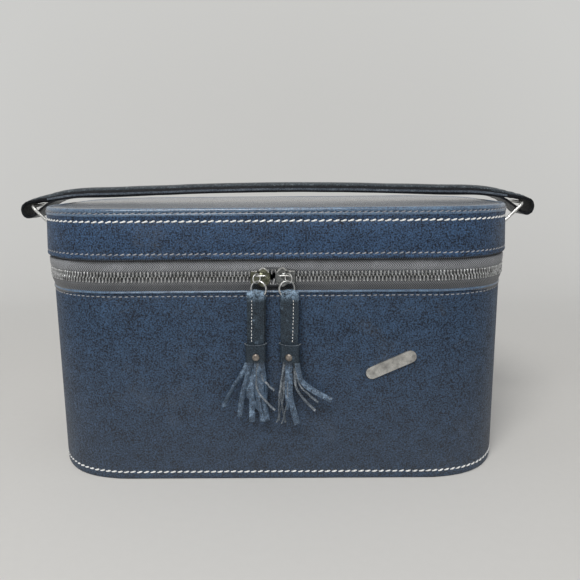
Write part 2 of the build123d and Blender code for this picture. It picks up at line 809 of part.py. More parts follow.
    # Stud: a domed head on a shank through the collar
    with BuildPart() as stud:
        with BuildSketch(Plane.XY.offset(stud_z)):
            head_y = link_y - collar_half_y
            with BuildLine():
                Line((tassel_x, head_y + 2 * collar_half_y), (tassel_x, head_y - stud_height))
                ThreePointArc(
                    (tassel_x, head_y - stud_height),
                    (tassel_x + stud_radius * dome_out, head_y - stud_height * dome_up),
                    (tassel_x + stud_radius, head_y),
                )
                Polyline(
                    (tassel_x + stud_radius, head_y),
                    (tassel_x + stud_shank, head_y),
                    (tassel_x + stud_shank, head_y + 2 * collar_half_y),
                    (tassel_x, head_y + 2 * collar_half_y),
                )
            make_face()
        revolve(axis=Axis((tassel_x, 0, stud_z), (0, 1, 0)))
    save(stud.part, f"tassel_stud_{label}")

    # Fringe: a flat head in the collar, cut below into three leaves of three strips
    with BuildPart() as fringe:
        with BuildSketch(Plane.XY.offset(fringe_root_z)):
            with Locations((tassel_x, link_y)):
                Rectangle(pull_width, 2 * pull_half)
        extrude(amount=pull_end_z - fringe_play - fringe_root_z)
        add(hole, mode=Mode.SUBTRACT)
        leaf_pitch = pull_half - fringe_leaf / 2
        for leaf, tips in zip((-1, 0, 1), fringe_tips):
            leaf_plane = Plane.XZ.offset(-(link_y + leaf * leaf_pitch + fringe_leaf / 2))
            for place, (reach, length) in zip((-1, 0, 1), tips):
                tip_z = fringe_root_z - length
                root = tassel_x + side * place * fringe_pitch
                with BuildSketch(leaf_plane):
                    with BuildLine():
                        for edge in (-1, 1):
                            x = root + edge * fringe_strip / 2
                            ThreePointArc(
                                (x, fringe_root_z),
                                (x + side * reach * fringe_bend, (fringe_root_z + tip_z) / 2),
                                (x + side * reach, tip_z),
                            )
                        for middle, height in ((root, fringe_root_z), (root + side * reach, tip_z)):
                            Line((middle - fringe_strip / 2, height), (middle + fringe_strip / 2, height))
                    make_face()
                extrude(amount=fringe_leaf)
    save(fringe.part, f"tassel_fringe_{label}")


# Tips of the strips, leaf by leaf from the front: sideways reach, outwards positive, and length
fringe_tips = (
    ((-3.0, 36.0), (1.0, 39.5), (11.0, 29.0)),
    ((-1.5, 38.5), (4.0, 40.5), (17.0, 25.0)),
    ((-4.5, 32.0), (-1.0, 41.5), (7.0, 33.0)),
)

slider(-1, "left")
slider(1, "right")
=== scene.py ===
import math
import random

import bmesh
import bpy
from mathutils import Matrix, Vector, noise


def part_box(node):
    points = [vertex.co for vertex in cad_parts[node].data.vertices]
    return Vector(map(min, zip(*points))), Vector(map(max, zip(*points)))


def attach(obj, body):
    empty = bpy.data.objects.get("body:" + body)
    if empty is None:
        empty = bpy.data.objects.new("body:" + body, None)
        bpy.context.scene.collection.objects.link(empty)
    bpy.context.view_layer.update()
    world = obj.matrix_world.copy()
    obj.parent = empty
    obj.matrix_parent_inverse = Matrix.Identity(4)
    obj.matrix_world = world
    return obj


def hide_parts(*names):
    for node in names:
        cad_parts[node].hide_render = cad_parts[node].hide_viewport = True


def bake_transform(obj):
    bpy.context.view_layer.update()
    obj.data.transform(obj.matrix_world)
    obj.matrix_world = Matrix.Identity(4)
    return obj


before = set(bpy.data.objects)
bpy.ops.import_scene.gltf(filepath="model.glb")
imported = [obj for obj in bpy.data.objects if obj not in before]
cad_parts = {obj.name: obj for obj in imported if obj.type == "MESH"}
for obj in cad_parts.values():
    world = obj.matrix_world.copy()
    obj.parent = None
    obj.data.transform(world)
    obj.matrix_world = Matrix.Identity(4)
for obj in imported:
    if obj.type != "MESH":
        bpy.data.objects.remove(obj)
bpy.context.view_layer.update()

bl_info = {
    "name": "Cosmetic train case",
    "version": (1, 0, 0),
    "blender": (4, 5, 0),
    "location": "3D View > Sidebar > Train Case",
    "description": "Builds the looks of a zipped, rounded train case around its packed frame",
    "category": "Object",
}

# Every mesh is drawn in millimetres and scaled to metres when it is finished
MM = 0.001


def node_box(node):
    """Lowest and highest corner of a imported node, in millimetres."""
    low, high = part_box(node)
    return low / MM, high / MM


def centre_of(node):
    """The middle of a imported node."""
    low, high = node_box(node)
    return (low + high) / 2


def middle_of(node):
    """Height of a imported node's middle."""
    low, high = node_box(node)
    return (low.z + high.z) / 2


# Places read from the frame
LID_LOW, LID_HIGH = node_box("lid_wall_cover")
BODY_HIGH = node_box("body_wall_cover")[1]
HALF_WIDTH, HALF_DEPTH = LID_HIGH.x, LID_HIGH.y
BODY_INSET = HALF_WIDTH - BODY_HIGH.x
FOLD_Z = BODY_HIGH.z
LID_EDGE_Z = LID_LOW.z
LID_RIM_Z = LID_HIGH.z
PARTING_Z = (node_box("zip_teeth_lower")[1].z + node_box("zip_teeth_upper")[0].z) / 2
TAPE_INSET = HALF_WIDTH - node_box("zip_tape_lower")[1].x
TAPE_LOW_Z = node_box("zip_tape_lower")[0].z
TAPE_HIGH_Z = node_box("zip_tape_upper")[1].z
HINGE_HALF = node_box("hinge_panel_lower")[1].x

# The plan outline: straight runs joined by quarter circles
CORNER = 60.0
STRAIGHT_X = HALF_WIDTH - CORNER
STRAIGHT_Y = HALF_DEPTH - CORNER
QUARTER = CORNER * math.pi / 2
PERIMETER = 4 * (STRAIGHT_X + STRAIGHT_Y + QUARTER)
BACK_MIDDLE = PERIMETER / 2


def rounded_outline(distance, half_x, half_y, corner):
    """Point and outward direction on a rounded rectangle, a distance round from its low-Y side's middle."""
    quarter = corner * math.pi / 2
    around = 4 * (half_x + half_y - 2 * corner + quarter)
    left = (distance + half_x - corner) % around
    for side in range(4):
        half, reach = ((half_x - corner, half_y), (half_y - corner, half_x))[side % 2]
        turn = Matrix.Rotation(side * math.pi / 2, 3, "Z")
        if left <= 2 * half:
            return turn @ Vector((left - half, -reach, 0)), turn @ Vector((0, -1, 0))
        left -= 2 * half
        if left <= quarter:
            angle = left / corner
            out = Vector((math.sin(angle), -math.cos(angle), 0))
            return turn @ (Vector((half, corner - reach, 0)) + out * corner), turn @ out
        left -= quarter
    return rounded_outline(0, half_x, half_y, corner)


def outline_at(distance):
    """Point and outward direction on the lid's outline."""
    return rounded_outline(distance, HALF_WIDTH, HALF_DEPTH, CORNER)


def small_outline(half_x, half_y, corner):
    """The length round a rounded rectangle, and the function that gives its points."""
    around = 4 * (half_x + half_y - 2 * corner) + math.tau * corner
    return around, lambda distance: rounded_outline(distance, half_x, half_y, corner)


def to_the_side(distance):
    """0 on the front and back runs, 1 on the case's two sides."""
    return smooth_step(abs(outline_at(distance)[1].x), 0.12, 0.75)


def upwards(height):
    """A step straight up."""
    return Vector((0, 0, height))


def smooth_step(value, low, high):
    """0 below low, 1 above high and a smooth rise between them."""
    share = min(1.0, max(0.0, (value - low) / (high - low)))
    return share * share * (3 - 2 * share)


def spline_at(points, share):
    """A point on the smooth curve through a list of points, share running from 0 to 1."""
    place = share * (len(points) - 1)
    index = min(int(place), len(points) - 2)
    t = place - index
    before, start, end, after = (points[min(max(index + k, 0), len(points) - 1)] for k in (-1, 0, 1, 2))
    return 0.5 * (2 * start + (end - before) * t + (2 * before - 5 * start + 4 * end - after) * t**2
                  + (3 * start - before - 3 * end + after) * t**3)


# Mesh helpers


def strip_mesh(rows, columns, place, lengths=(1.0, 1.0)):
    """A grid whose points are set by place(along, across), both from 0 to 1. Its UV map is in millimetres."""
    mesh = bmesh.new()
    uv = mesh.loops.layers.uv.new("UVMap")
    bmesh.ops.create_grid(mesh, x_segments=columns, y_segments=rows, size=0.5, calc_uvs=True)
    for vert in mesh.verts:
        vert.co = place(vert.co.x + 0.5, vert.co.y + 0.5)
    for face in mesh.faces:
        for loop in face.loops:
            loop[uv].uv = (loop[uv].uv.x * lengths[0], loop[uv].uv.y * lengths[1])
    return mesh


def close_mesh(mesh, gap=0.002):
    """Merge the doubles of a mesh and turn its faces outwards."""
    bmesh.ops.remove_doubles(mesh, verts=mesh.verts, dist=gap)
    bmesh.ops.recalc_face_normals(mesh, faces=mesh.faces)
    return mesh


def close_ends(mesh):
    """Fill the open ends of a tube."""
    bmesh.ops.remove_doubles(mesh, verts=mesh.verts, dist=0.002)
    bmesh.ops.holes_fill(mesh, edges=[e for e in mesh.edges if e.is_boundary])
    return close_mesh(mesh)


def band(profile, columns, start=0.0, length=PERIMETER, shape=None, outline=outline_at):
    """A skin laid round an outline. The profile gives (inset, height) points, and shape moves them."""
    travel = [0.0]
    for before, after in zip(profile, profile[1:]):
        travel.append(travel[-1] + math.dist(before, after))
    rows = len(profile) - 1

    def place(along, across):
        inset, height = profile[round(across * rows)]
        distance = start + along * length
        if shape:
            inset, height = shape(distance, inset, height)
        point, out = outline(distance)
        return point - out * inset + upwards(height)

    mesh = strip_mesh(rows, columns, place, (length, rows))
    uv = mesh.loops.layers.uv.active
    for face in mesh.faces:
        for loop in face.loops:
            loop[uv].uv.y = travel[round(loop[uv].uv.y)]
    return close_mesh(mesh)


def add_copies(mesh, template, places):
    """Copies of a small mesh at each placing matrix. The template is freed."""
    pattern = bpy.data.meshes.new("pattern")
    template.to_mesh(pattern)
    template.free()
    for place in places:
        copy = pattern.copy()
        copy.transform(place)
        mesh.from_mesh(copy)
        bpy.data.meshes.remove(copy)
    bpy.data.meshes.remove(pattern)
    return mesh


def fill_middle(mesh):
    """Close the open middle of a band that lies flat."""
    from_edge = 40
    rim = [e for e in mesh.edges if e.is_boundary
           and all(abs(v.co.x) < HALF_WIDTH - from_edge for v in e.verts)
           and all(abs(v.co.y) < HALF_DEPTH - from_edge for v in e.verts)]
    bmesh.ops.edgeloop_fill(mesh, edges=rim)


def run_along(out):
    """The direction in which an outline runs, a quarter turn from its outward direction."""
    return Vector((-out.y, out.x, 0))


def placed(point, *axes):
    """The matrix that puts a small form at a point, with its own axes along three directions."""
    return Matrix.Translation(point) @ Matrix(axes).transposed().to_4x4()


def soften(mesh, width, segments=2, angle=30.0):
    """Bevel the edges of a mesh that turn by more than an angle."""
    sharp = [e for e in mesh.edges if e.is_manifold and e.calc_face_angle(0) > math.radians(angle)]
    bmesh.ops.bevel(mesh, geom=sharp, offset=width, segments=segments, profile=0.5, affect="EDGES",
                    material=-1, clamp_overlap=True)
    return mesh


def turned(profile, sides=32):
    """A closed form turned from (radius, height) points about Z."""
    mesh = bmesh.new()
    verts = [mesh.verts.new((radius, 0, height)) for radius, height in profile]
    edges = [mesh.edges.new(pair) for pair in zip(verts, verts[1:])]
    bmesh.ops.spin(mesh, geom=verts + edges, cent=(0, 0, 0), axis=(0, 0, 1), angle=math.tau, steps=sides,
                   use_merge=True)
    return close_mesh(mesh)


def wire(path, columns, radius, sides=12, closed=False, across_of=Vector((0, 1, 0))):
    """A round wire along path(share). across_of is the direction that the wire's bends turn about."""
    step = 0.25 / columns

    def place(along, across):
        ends = [(along + shift) % 1 if closed else min(1, max(0, along + shift)) for shift in (-step, step)]
        run = (path(ends[1]) - path(ends[0])).normalized()
        side = across_of.cross(run).normalized()
        angle = across * math.tau
        away = math.cos(angle) * side + math.sin(angle) * run.cross(side)
        return path(along % 1 if closed else along) + radius * away

    return close_ends(strip_mesh(sides, columns, place))


def thicken(mesh, thickness):
    """Give a skin its thickness to both sides, as a closed form."""
    bmesh.ops.recalc_face_normals(mesh, faces=mesh.faces)
    for vert in mesh.verts:
        vert.co += vert.normal * thickness / 2
    bmesh.ops.solidify(mesh, geom=list(mesh.faces), thickness=thickness)
    return close_mesh(mesh)


def plate(outline, thickness, bevel=0.2, segments=2):
    """A flat plate cut to a list of (x, z) points. Its front is at y 0 and it is thickness deep."""
    mesh = bmesh.new()
    face = mesh.faces.new([mesh.verts.new((x, 0, z)) for x, z in outline])
    made = bmesh.ops.extrude_face_region(mesh, geom=[face])["geom"]
    bmesh.ops.translate(mesh, vec=(0, thickness, 0),
                        verts=[v for v in made if isinstance(v, bmesh.types.BMVert)])
    bmesh.ops.recalc_face_normals(mesh, faces=mesh.faces)
    if bevel:
        soften(mesh, bevel, segments)
    return mesh


def piece(mesh, name, materials, body=None, nodes=(), slot=None, sharp=40.0):
    """Turn a mesh drawn in millimetres into a finished piece that rides on a body."""
    bmesh.ops.scale(mesh, vec=(MM, MM, MM), verts=mesh.verts)
    data = bpy.data.meshes.new(name)
    mesh.to_mesh(data)
    mesh.free()
    data.shade_smooth()
    data.set_sharp_from_angle(angle=math.radians(sharp))
    made = bpy.data.objects.new(name, data)
    bpy.context.scene.collection.objects.link(made)
    for material in materials if isinstance(materials, (list, tuple)) else (materials,):
        data.materials.append(material)
    if nodes:
        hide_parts(*nodes)
    if body:
        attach(made, body)
    return made


# Material helpers


def add_node(tree, kind, **settings):
    """A shader node. Settings name its properties or, with spaces as underscores, its input sockets."""
    made = tree.nodes.new("ShaderNode" + kind)
    for name, value in settings.items():
        if hasattr(made, name):
            setattr(made, name, value)
            continue
        socket = made.inputs[int(name[1:])] if name[1:].isdigit() else made.inputs[name.replace("_", " ")]
        if isinstance(value, bpy.types.NodeSocket):
            tree.links.new(value, socket)
        else:
            socket.default_value = value
    return made


def math_node(tree, operation, first, second=0.0, third=0.0):
    """The result of one arithmetic step."""
    return add_node(tree, "Math", operation=operation, i0=first, i1=second, i2=third).outputs[0]


def mix_colour(tree, mask, first, second):
    """Colour that goes from first to second as the mask goes from 0 to 1."""
    made = add_node(tree, "Mix", data_type="RGBA")
    for index, value in ((0, mask), (6, first), (7, second)):
        if isinstance(value, bpy.types.NodeSocket):
            tree.links.new(value, made.inputs[index])
        else:
            made.inputs[index].default_value = (*value, 1)[:4] if index else value
    return made.outputs[2]


def spread(tree, value, low, high, to_low=0.0, to_high=1.0):
    """A value between low and high mapped to a new range, clamped."""
    return add_node(tree, "MapRange", i0=value, i1=low, i2=high, i3=to_low, i4=to_high).outputs[0]


def new_group(name, inputs, outputs):
    """An empty shader group with named sockets, and its two end nodes."""
    tree = bpy.data.node_groups.new(name, "ShaderNodeTree")
    for label, kind, value in inputs:
        socket = tree.interface.new_socket(label, in_out="INPUT", socket_type="NodeSocket" + kind)
        if value is not None:
            socket.default_value = value
    for label, kind in outputs:
        tree.interface.new_socket(label, in_out="OUTPUT", socket_type="NodeSocket" + kind)
    return tree, tree.nodes.new("NodeGroupInput").outputs, tree.nodes.new("NodeGroupOutput").inputs


def use_group(tree, group, **settings):
    """A shader group placed in a material, with its inputs set or linked."""
    made = tree.nodes.new("ShaderNodeGroup")
    made.node_tree = group
    for name, value in settings.items():
        socket = made.inputs[name.replace("_", " ")]
        if isinstance(value, bpy.types.NodeSocket):
            tree.links.new(value, socket)
        else:
            socket.default_value = value
    return made.outputs


def leather_grain_group():
    """Fine pebbled grain: raised cells, the valleys between them and a tone for each cell."""
    tree, given, result = new_group(
        "leather_grain",
        [("Vector", "Vector", None), ("Cell", "Float", 1.1), ("Tone Size", "Float", 9.0)],
        [("Height", "Float"), ("Tone", "Float")])
    scale = math_node(tree, "DIVIDE", 1 / MM, given["Cell"])
    warp = add_node(tree, "TexNoise", Vector=given["Vector"], Scale=scale, Detail=1.0)
    bend = add_node(tree, "VectorMath", operation="MULTIPLY_ADD", i0=warp.outputs["Color"],
                    i1=(0.0006,) * 3, i2=given["Vector"]).outputs[0]
    cells = add_node(tree, "TexVoronoi", Vector=bend, Scale=scale, feature="SMOOTH_F1", Smoothness=0.6)
    hills = spread(tree, cells.outputs["Distance"], 0.1, 0.75, 1.0, 0.0)
    pores = add_node(tree, "TexNoise", Vector=given["Vector"], Scale=2200.0, Detail=2.0)
    tree.links.new(math_node(tree, "MULTIPLY_ADD", pores.outputs[0], 0.25, hills), result["Height"])
    broad_scale = math_node(tree, "DIVIDE", 1 / MM, given["Tone Size"])
    broad = add_node(tree, "TexNoise", Vector=given["Vector"], Scale=broad_scale, Detail=4.0, Roughness=0.62)
    speck_scale = math_node(tree, "MULTIPLY", scale, 1.1)
    speck = add_node(tree, "TexNoise", Vector=given["Vector"], Scale=speck_scale, Detail=1.5, Roughness=0.6)
    both = math_node(tree, "MULTIPLY_ADD", speck.outputs[0], 1.5,
                     math_node(tree, "MULTIPLY", broad.outputs[0], 0.45))
    tone = math_node(tree, "MULTIPLY_ADD", hills, 0.3, both)
    tree.links.new(spread(tree, tone, 0.84, 1.42), result["Tone"])
    return tree


def rubbing_group():
    """Where hands and shelves have rubbed a surface: broad patches broken by fine specks. The handle's and
    the fringe's leathers use the same mask for painted highlights.
    """
    tree, given, result = new_group(
        "rubbing", [("Vector", "Vector", None), ("Patch", "Float", 45.0), ("Level", "Float", 0.5)],
        [("Mask", "Float")])
    scale = math_node(tree, "DIVIDE", 1 / MM, given["Patch"])
    patch = add_node(tree, "TexNoise", Vector=given["Vector"], Scale=scale, Detail=6.0, Roughness=0.66)
    low = given["Level"]
    high = math_node(tree, "ADD", low, 0.22)
    mask = add_node(tree, "MapRange", i0=patch.outputs[0], i1=low, i2=high).outputs[0]
    specks = add_node(tree, "TexNoise", Vector=given["Vector"], Scale=900.0, Detail=3.0)
    rough = spread(tree, specks.outputs[0], 0.35, 0.65)
    tree.links.new(math_node(tree, "MULTIPLY", mask, rough), result["Mask"])
    return tree


def scratches_group():
    """Sparse thin scratches that run mostly across the surface."""
    tree, given, result = new_group(
        "scratches", [("Vector", "Vector", None), ("Turn", "Float", 0.4), ("Level", "Float", 0.7)],
        [("Mask", "Float")])
    swung = add_node(tree, "VectorRotate", rotation_type="Y_AXIS", Vector=given["Vector"],
                     Angle=given["Turn"])
    long_way = add_node(tree, "VectorMath", operation="MULTIPLY", i0=swung.outputs[0],
                        i1=(28, 28, 1500)).outputs[0]
    lines = add_node(tree, "TexNoise", Vector=long_way, Scale=1.0, Detail=1.0)
    patches = add_node(tree, "TexNoise", Vector=given["Vector"], Scale=26.0, Detail=1.0)
    sharp = add_node(tree, "MapRange", i0=lines.outputs[0], i1=given["Level"],
                     i2=math_node(tree, "ADD", given["Level"], 0.05)).outputs[0]
    where = spread(tree, patches.outputs[0], 0.56, 0.64)
    tree.links.new(math_node(tree, "MULTIPLY", sharp, where), result["Mask"])
    return tree


def herringbone_group():
    """Twill ribs that zigzag across a tape. The vector is the tape's UV map in millimetres."""
    tree, given, result = new_group(
        "herringbone", [("Vector", "Vector", None), ("Rib", "Float", 1.55), ("Row", "Float", 3.4)],
        [("Height", "Float"), ("Tone", "Float")])
    axes = add_node(tree, "SeparateXYZ", Vector=given["Vector"])
    zigzag = math_node(tree, "PINGPONG", axes.outputs[1], given["Row"])
    along = math_node(tree, "DIVIDE", math_node(tree, "ADD", axes.outputs[0], zigzag), given["Rib"])
    rib = math_node(tree, "SINE", math_node(tree, "MULTIPLY", along, math.tau))
    threads = math_node(tree, "SINE", math_node(tree, "MULTIPLY", axes.outputs[1], math.tau / 0.45))
    high = math_node(tree, "MULTIPLY_ADD", threads, 0.25, rib)
    tree.links.new(spread(tree, high, -1.1, 1.1), result["Height"])
    fibre = add_node(tree, "TexNoise", Vector=given["Vector"], Scale=2.2, Detail=3.0)
    tone = math_node(tree, "MULTIPLY_ADD", fibre.outputs[0], 1.0, math_node(tree, "MULTIPLY", rib, 0.45))
    tree.links.new(spread(tree, tone, 0.1, 0.95), result["Tone"])
    return tree


def tarnish_group():
    """Dulled patches and dark flecks on plated metal."""
    tree, given, result = new_group(
        "tarnish", [("Vector", "Vector", None), ("Patch", "Float", 2.5)],
        [("Mask", "Float"), ("Fleck", "Float")])
    scale = math_node(tree, "DIVIDE", 1 / MM, given["Patch"])
    patch = add_node(tree, "TexNoise", Vector=given["Vector"], Scale=scale, Detail=5.0, Roughness=0.6)
    tree.links.new(spread(tree, patch.outputs[0], 0.38, 0.66), result["Mask"])
    fleck = add_node(tree, "TexNoise", Vector=given["Vector"], Scale=2600.0, Detail=2.0)
    tree.links.new(spread(tree, fleck.outputs[0], 0.56, 0.7), result["Fleck"])
    return tree


class Finishes:
    """The materials, each built when it is first asked for and then shared."""

    made = {}
    groups = {}

    @classmethod
    def group(cls, build):
        """One shared shader group, built once."""
        if build.__name__ not in cls.groups:
            cls.groups[build.__name__] = build()
        return cls.groups[build.__name__]

    @classmethod
    def get(cls, build, *values, **named):
        """One shared material, built once for each set of values."""
        key = (build.__name__, *values, *named.items())
        if key not in cls.made:
            cls.made[key] = build(*values, **named)
        return cls.made[key]


def start_material(name, roughness=0.5, metallic=0.0, **sockets):
    """A material, its node tree, its shader's inputs and its object coordinates."""
    material = bpy.data.materials.new(name)
    material.use_nodes = True
    tree = material.node_tree
    shader = tree.nodes["Principled BSDF"].inputs
    shader["Roughness"].default_value = roughness
    shader["Metallic"].default_value = metallic
    for label, value in sockets.items():
        shader[label.replace("_", " ")].default_value = value
    place = add_node(tree, "TexCoord").outputs["Object"]
    return material, tree, shader, place


def add_bump(tree, shader, height, depth):
    """Relief of a real depth in millimetres."""
    bump = add_node(tree, "Bump", Strength=1.0, Distance=depth * MM, Height=height)
    tree.links.new(bump.outputs[0], shader["Normal"])


def leatherette(name, dark, light, worn, gloss, wear_level=0.56, polish=0.0):
    """Grained leatherette: two tones in the grain, greyer where it is rubbed and towards the foot."""
    material, tree, shader, place = start_material(
        name, Specular_IOR_Level=0.35, Coat_Weight=polish, Coat_Roughness=0.2)
    grain = use_group(tree, Finishes.group(leather_grain_group), Vector=place)
    rubbed = use_group(tree, Finishes.group(rubbing_group), Vector=place, Level=wear_level)["Mask"]
    lines = use_group(tree, Finishes.group(scratches_group), Vector=place, Level=0.72)["Mask"]
    base = mix_colour(tree, grain["Tone"], dark, light)
    faded = mix_colour(tree, math_node(tree, "MULTIPLY", rubbed, 0.5), base, worn)
    scored = mix_colour(tree, math_node(tree, "MULTIPLY", lines, 0.45), faded, worn)
    # Greyer towards the foot: a quarter of the way to the rubbed colour at the bottom, none from 110 mm up
    height = add_node(tree, "SeparateXYZ", Vector=place).outputs[2]
    foot_greying = spread(tree, height, 0.0, 0.11, 0.25, 0.0)
    tree.links.new(mix_colour(tree, foot_greying, scored, worn), shader["Base Color"])
    tree.links.new(spread(tree, grain["Tone"], 0.0, 1.0, gloss + 0.1, gloss - 0.06), shader["Roughness"])
    add_bump(tree, shader, math_node(tree, "SUBTRACT", grain["Height"], lines), 0.09)
    return material


def strap_leather(name, dark, light, worn, gloss, level=0.5, patch=7.0, shine=0.35, rub_from=0.0):
    """Thin leather with fine creases and pale rubbed ridges; on the handle and the fringe these pale patches
    are painted highlights.
    """
    material, tree, shader, place = start_material(name, Specular_IOR_Level=shine)
    grain = use_group(tree, Finishes.group(leather_grain_group), Vector=place, Cell=0.8, Tone_Size=4.0)
    rubbed = use_group(tree, Finishes.group(rubbing_group), Vector=place, Patch=patch, Level=level)["Mask"]
    base = mix_colour(tree, grain["Tone"], dark, light)
    # Above this height, pale streaks: rubbed leather together with a painted highlight on the top of the fold
    if rub_from:
        height = add_node(tree, "SeparateXYZ", Vector=place).outputs[2]
        streaks = add_node(tree, "TexNoise", Vector=place, Scale=360.0, Detail=3.0, Distortion=2.0).outputs[0]
        above = spread(tree, height, rub_from, rub_from + 0.005)
        fold = math_node(tree, "MULTIPLY", above, spread(tree, streaks, 0.36, 0.62))
        rubbed = math_node(tree, "MAXIMUM", rubbed, fold)
    colour = mix_colour(tree, math_node(tree, "MULTIPLY", rubbed, 0.8), base, worn)
    tree.links.new(colour, shader["Base Color"])
    tree.links.new(spread(tree, grain["Tone"], 0.0, 1.0, gloss + 0.1, gloss - 0.05), shader["Roughness"])
    crease = add_node(tree, "TexNoise", Vector=place, Scale=420.0, Detail=4.0, Distortion=1.2)
    height = math_node(tree, "MULTIPLY_ADD", crease.outputs[0], 1.4, grain["Height"])
    add_bump(tree, shader, height, 0.2)
    return material


def thread_finish(name, dark, light):
    """Waxed thread: fibres along the lay and soiling in the hollows."""
    material, tree, shader, place = start_material(name, roughness=0.62)
    fibre = add_node(tree, "TexNoise", Vector=place, Scale=1800.0, Detail=4.0)
    soil = add_node(tree, "TexNoise", Vector=place, Scale=120.0, Detail=3.0)
    mask = math_node(tree, "MULTIPLY_ADD", soil.outputs[0], 0.8,
                     math_node(tree, "MULTIPLY", fibre.outputs[0], 0.6))
    tree.links.new(mix_colour(tree, spread(tree, mask, 0.45, 0.95), dark, light), shader["Base Color"])
    add_bump(tree, shader, fibre.outputs[0], 0.05)
    return material


def tape_finish(name, dark, light):
    """Woven herringbone tape with a soft lustre."""
    material, tree, shader, place = start_material(name, roughness=0.6, Sheen_Weight=0.12,
                                                   Sheen_Roughness=0.5)
    uv = add_node(tree, "TexCoord").outputs["UV"]
    weave = use_group(tree, Finishes.group(herringbone_group), Vector=uv)
    rubbed = use_group(tree, Finishes.group(rubbing_group), Vector=place, Patch=24.0, Level=0.46)["Mask"]
    base = mix_colour(tree, weave["Tone"], dark, light)
    worn = tuple(min(1.0, value * 1.5) for value in light)
    colour = mix_colour(tree, math_node(tree, "MULTIPLY", rubbed, 0.4), base, worn)
    tree.links.new(colour, shader["Base Color"])
    add_bump(tree, shader, weave["Height"], 0.14)
    return material


def plated_metal(name, bright, dull, roughness=0.28, patch=2.5):
    """Aged plate: bright metal with dulled patches and dark flecks."""
    material, tree, shader, place = start_material(name, metallic=1.0)
    aged = use_group(tree, Finishes.group(tarnish_group), Vector=place, Patch=patch)
    flecked = mix_colour(tree, math_node(tree, "MULTIPLY", aged["Fleck"], 0.35), bright, dull)
    tree.links.new(mix_colour(tree, aged["Mask"], flecked, dull), shader["Base Color"])
    tree.links.new(spread(tree, aged["Mask"], 0.0, 1.0, roughness, roughness + 0.2), shader["Roughness"])
    add_bump(tree, shader, aged["Mask"], 0.02)
    return material


def woven_lining(name, dark, light):
    """Plain-woven lining cloth, read from the cloth's own place."""
    material, tree, shader, place = start_material(name, roughness=0.8, Sheen_Weight=0.2)
    axes = add_node(tree, "SeparateXYZ", Vector=place)
    flat = math_node(tree, "ADD", axes.outputs[0], axes.outputs[1])
    warp = math_node(tree, "SINE", math_node(tree, "MULTIPLY", flat, math.tau / (0.9 * MM)))
    up = math_node(tree, "ADD", axes.outputs[2], math_node(tree, "MULTIPLY", axes.outputs[1], 0.5))
    weft = math_node(tree, "SINE", math_node(tree, "MULTIPLY", up, math.tau / (0.8 * MM)))
    height = spread(tree, math_node(tree, "MULTIPLY", warp, weft), -1.0, 1.0)
    rubbed = use_group(tree, Finishes.group(rubbing_group), Vector=place, Patch=30.0, Level=0.45)["Mask"]
    base = mix_colour(tree, height, dark, light)
    colour = mix_colour(tree, math_node(tree, "MULTIPLY", rubbed, 0.35), base, dark)
    tree.links.new(colour, shader["Base Color"])
    add_bump(tree, shader, height, 0.12)
    return material


def pressed_board(name, dark, light):
    """Pressed fibreboard with short fibres and flecks."""
    material, tree, shader, place = start_material(name, roughness=0.85)
    fibre = add_node(tree, "TexNoise", Vector=place, Scale=700.0, Detail=5.0, Roughness=0.7)
    tone = spread(tree, fibre.outputs[0], 0.3, 0.7)
    tree.links.new(mix_colour(tree, tone, dark, light), shader["Base Color"])
    add_bump(tree, shader, fibre.outputs[0], 0.1)
    return material


def felt(name):
    """Matted grey felt."""
    material, tree, shader, place = start_material(name, roughness=0.95, Sheen_Weight=0.3)
    fibre = add_node(tree, "TexNoise", Vector=place, Scale=900.0, Detail=6.0, Roughness=0.75)
    tone = spread(tree, fibre.outputs[0], 0.3, 0.7)
    tree.links.new(mix_colour(tree, tone, (0.14, 0.14, 0.145), (0.3, 0.3, 0.31)), shader["Base Color"])
    add_bump(tree, shader, fibre.outputs[0], 0.3)
    return material


def silvered_glass(name):
    """Mirror glass with a faint haze of dust."""
    material, tree, shader, place = start_material(name, metallic=1.0)
    dust = use_group(tree, Finishes.group(rubbing_group), Vector=place, Patch=60.0, Level=0.5)["Mask"]
    tree.links.new(mix_colour(tree, dust, (0.86, 0.88, 0.89), (0.78, 0.8, 0.8)), shader["Base Color"])
    tree.links.new(spread(tree, dust, 0.0, 1.0, 0.02, 0.09), shader["Roughness"])
    return material


# Settings that a user would change


def colour_setting(name, description, default):
    """A colour on the panel."""
    return bpy.props.FloatVectorProperty(name=name, description=description, subtype="COLOR", default=default,
                                         min=0, max=1)


def length_setting(name, description, default):
    """A length on the panel, its default given in millimetres."""
    return bpy.props.FloatProperty(name=name, description=description, unit="LENGTH", default=default * MM)


def angle_setting(name, description, default):
    """An angle on the panel, its default given in radians."""
    return bpy.props.FloatProperty(name=name, description=description, subtype="ANGLE", default=default)


class LeatheretteSettings(bpy.types.PropertyGroup):
    dark: colour_setting("Valley colour", "Colour in the valleys of the grain", (0.001, 0.003, 0.009))
    light: colour_setting("Ridge colour", "Colour on the ridges of the grain", (0.043, 0.088, 0.165))
    worn: colour_setting("Rubbed colour", "Colour where the cover is rubbed", (0.12, 0.13, 0.145))
    wobble: length_setting("Unevenness", "How far the cover strays from a true surface", 0.12)


class ThreadSettings(bpy.types.PropertyGroup):
    pitch: length_setting("Pitch", "Distance between the thick stitches", 4.7)
    width: length_setting("Thread width", "Width of the thick thread", 1.12)
    slant: angle_setting("Slant", "Lean of each stitch", math.radians(17))
    fine_pitch: length_setting("Fine pitch", "Distance between the fine stitches", 4.0)
    fine_width: length_setting("Fine thread width", "Width of the fine thread", 0.85)
    light: colour_setting("Thread colour", "Colour of the thick thread", (0.95, 0.96, 0.96))
    soiled: colour_setting("Soiled colour", "Colour of the thick thread where it is soiled",
                           (0.74, 0.74, 0.72))
    tonal: colour_setting("Fine thread colour", "Colour of the fine thread", (0.42, 0.43, 0.46))


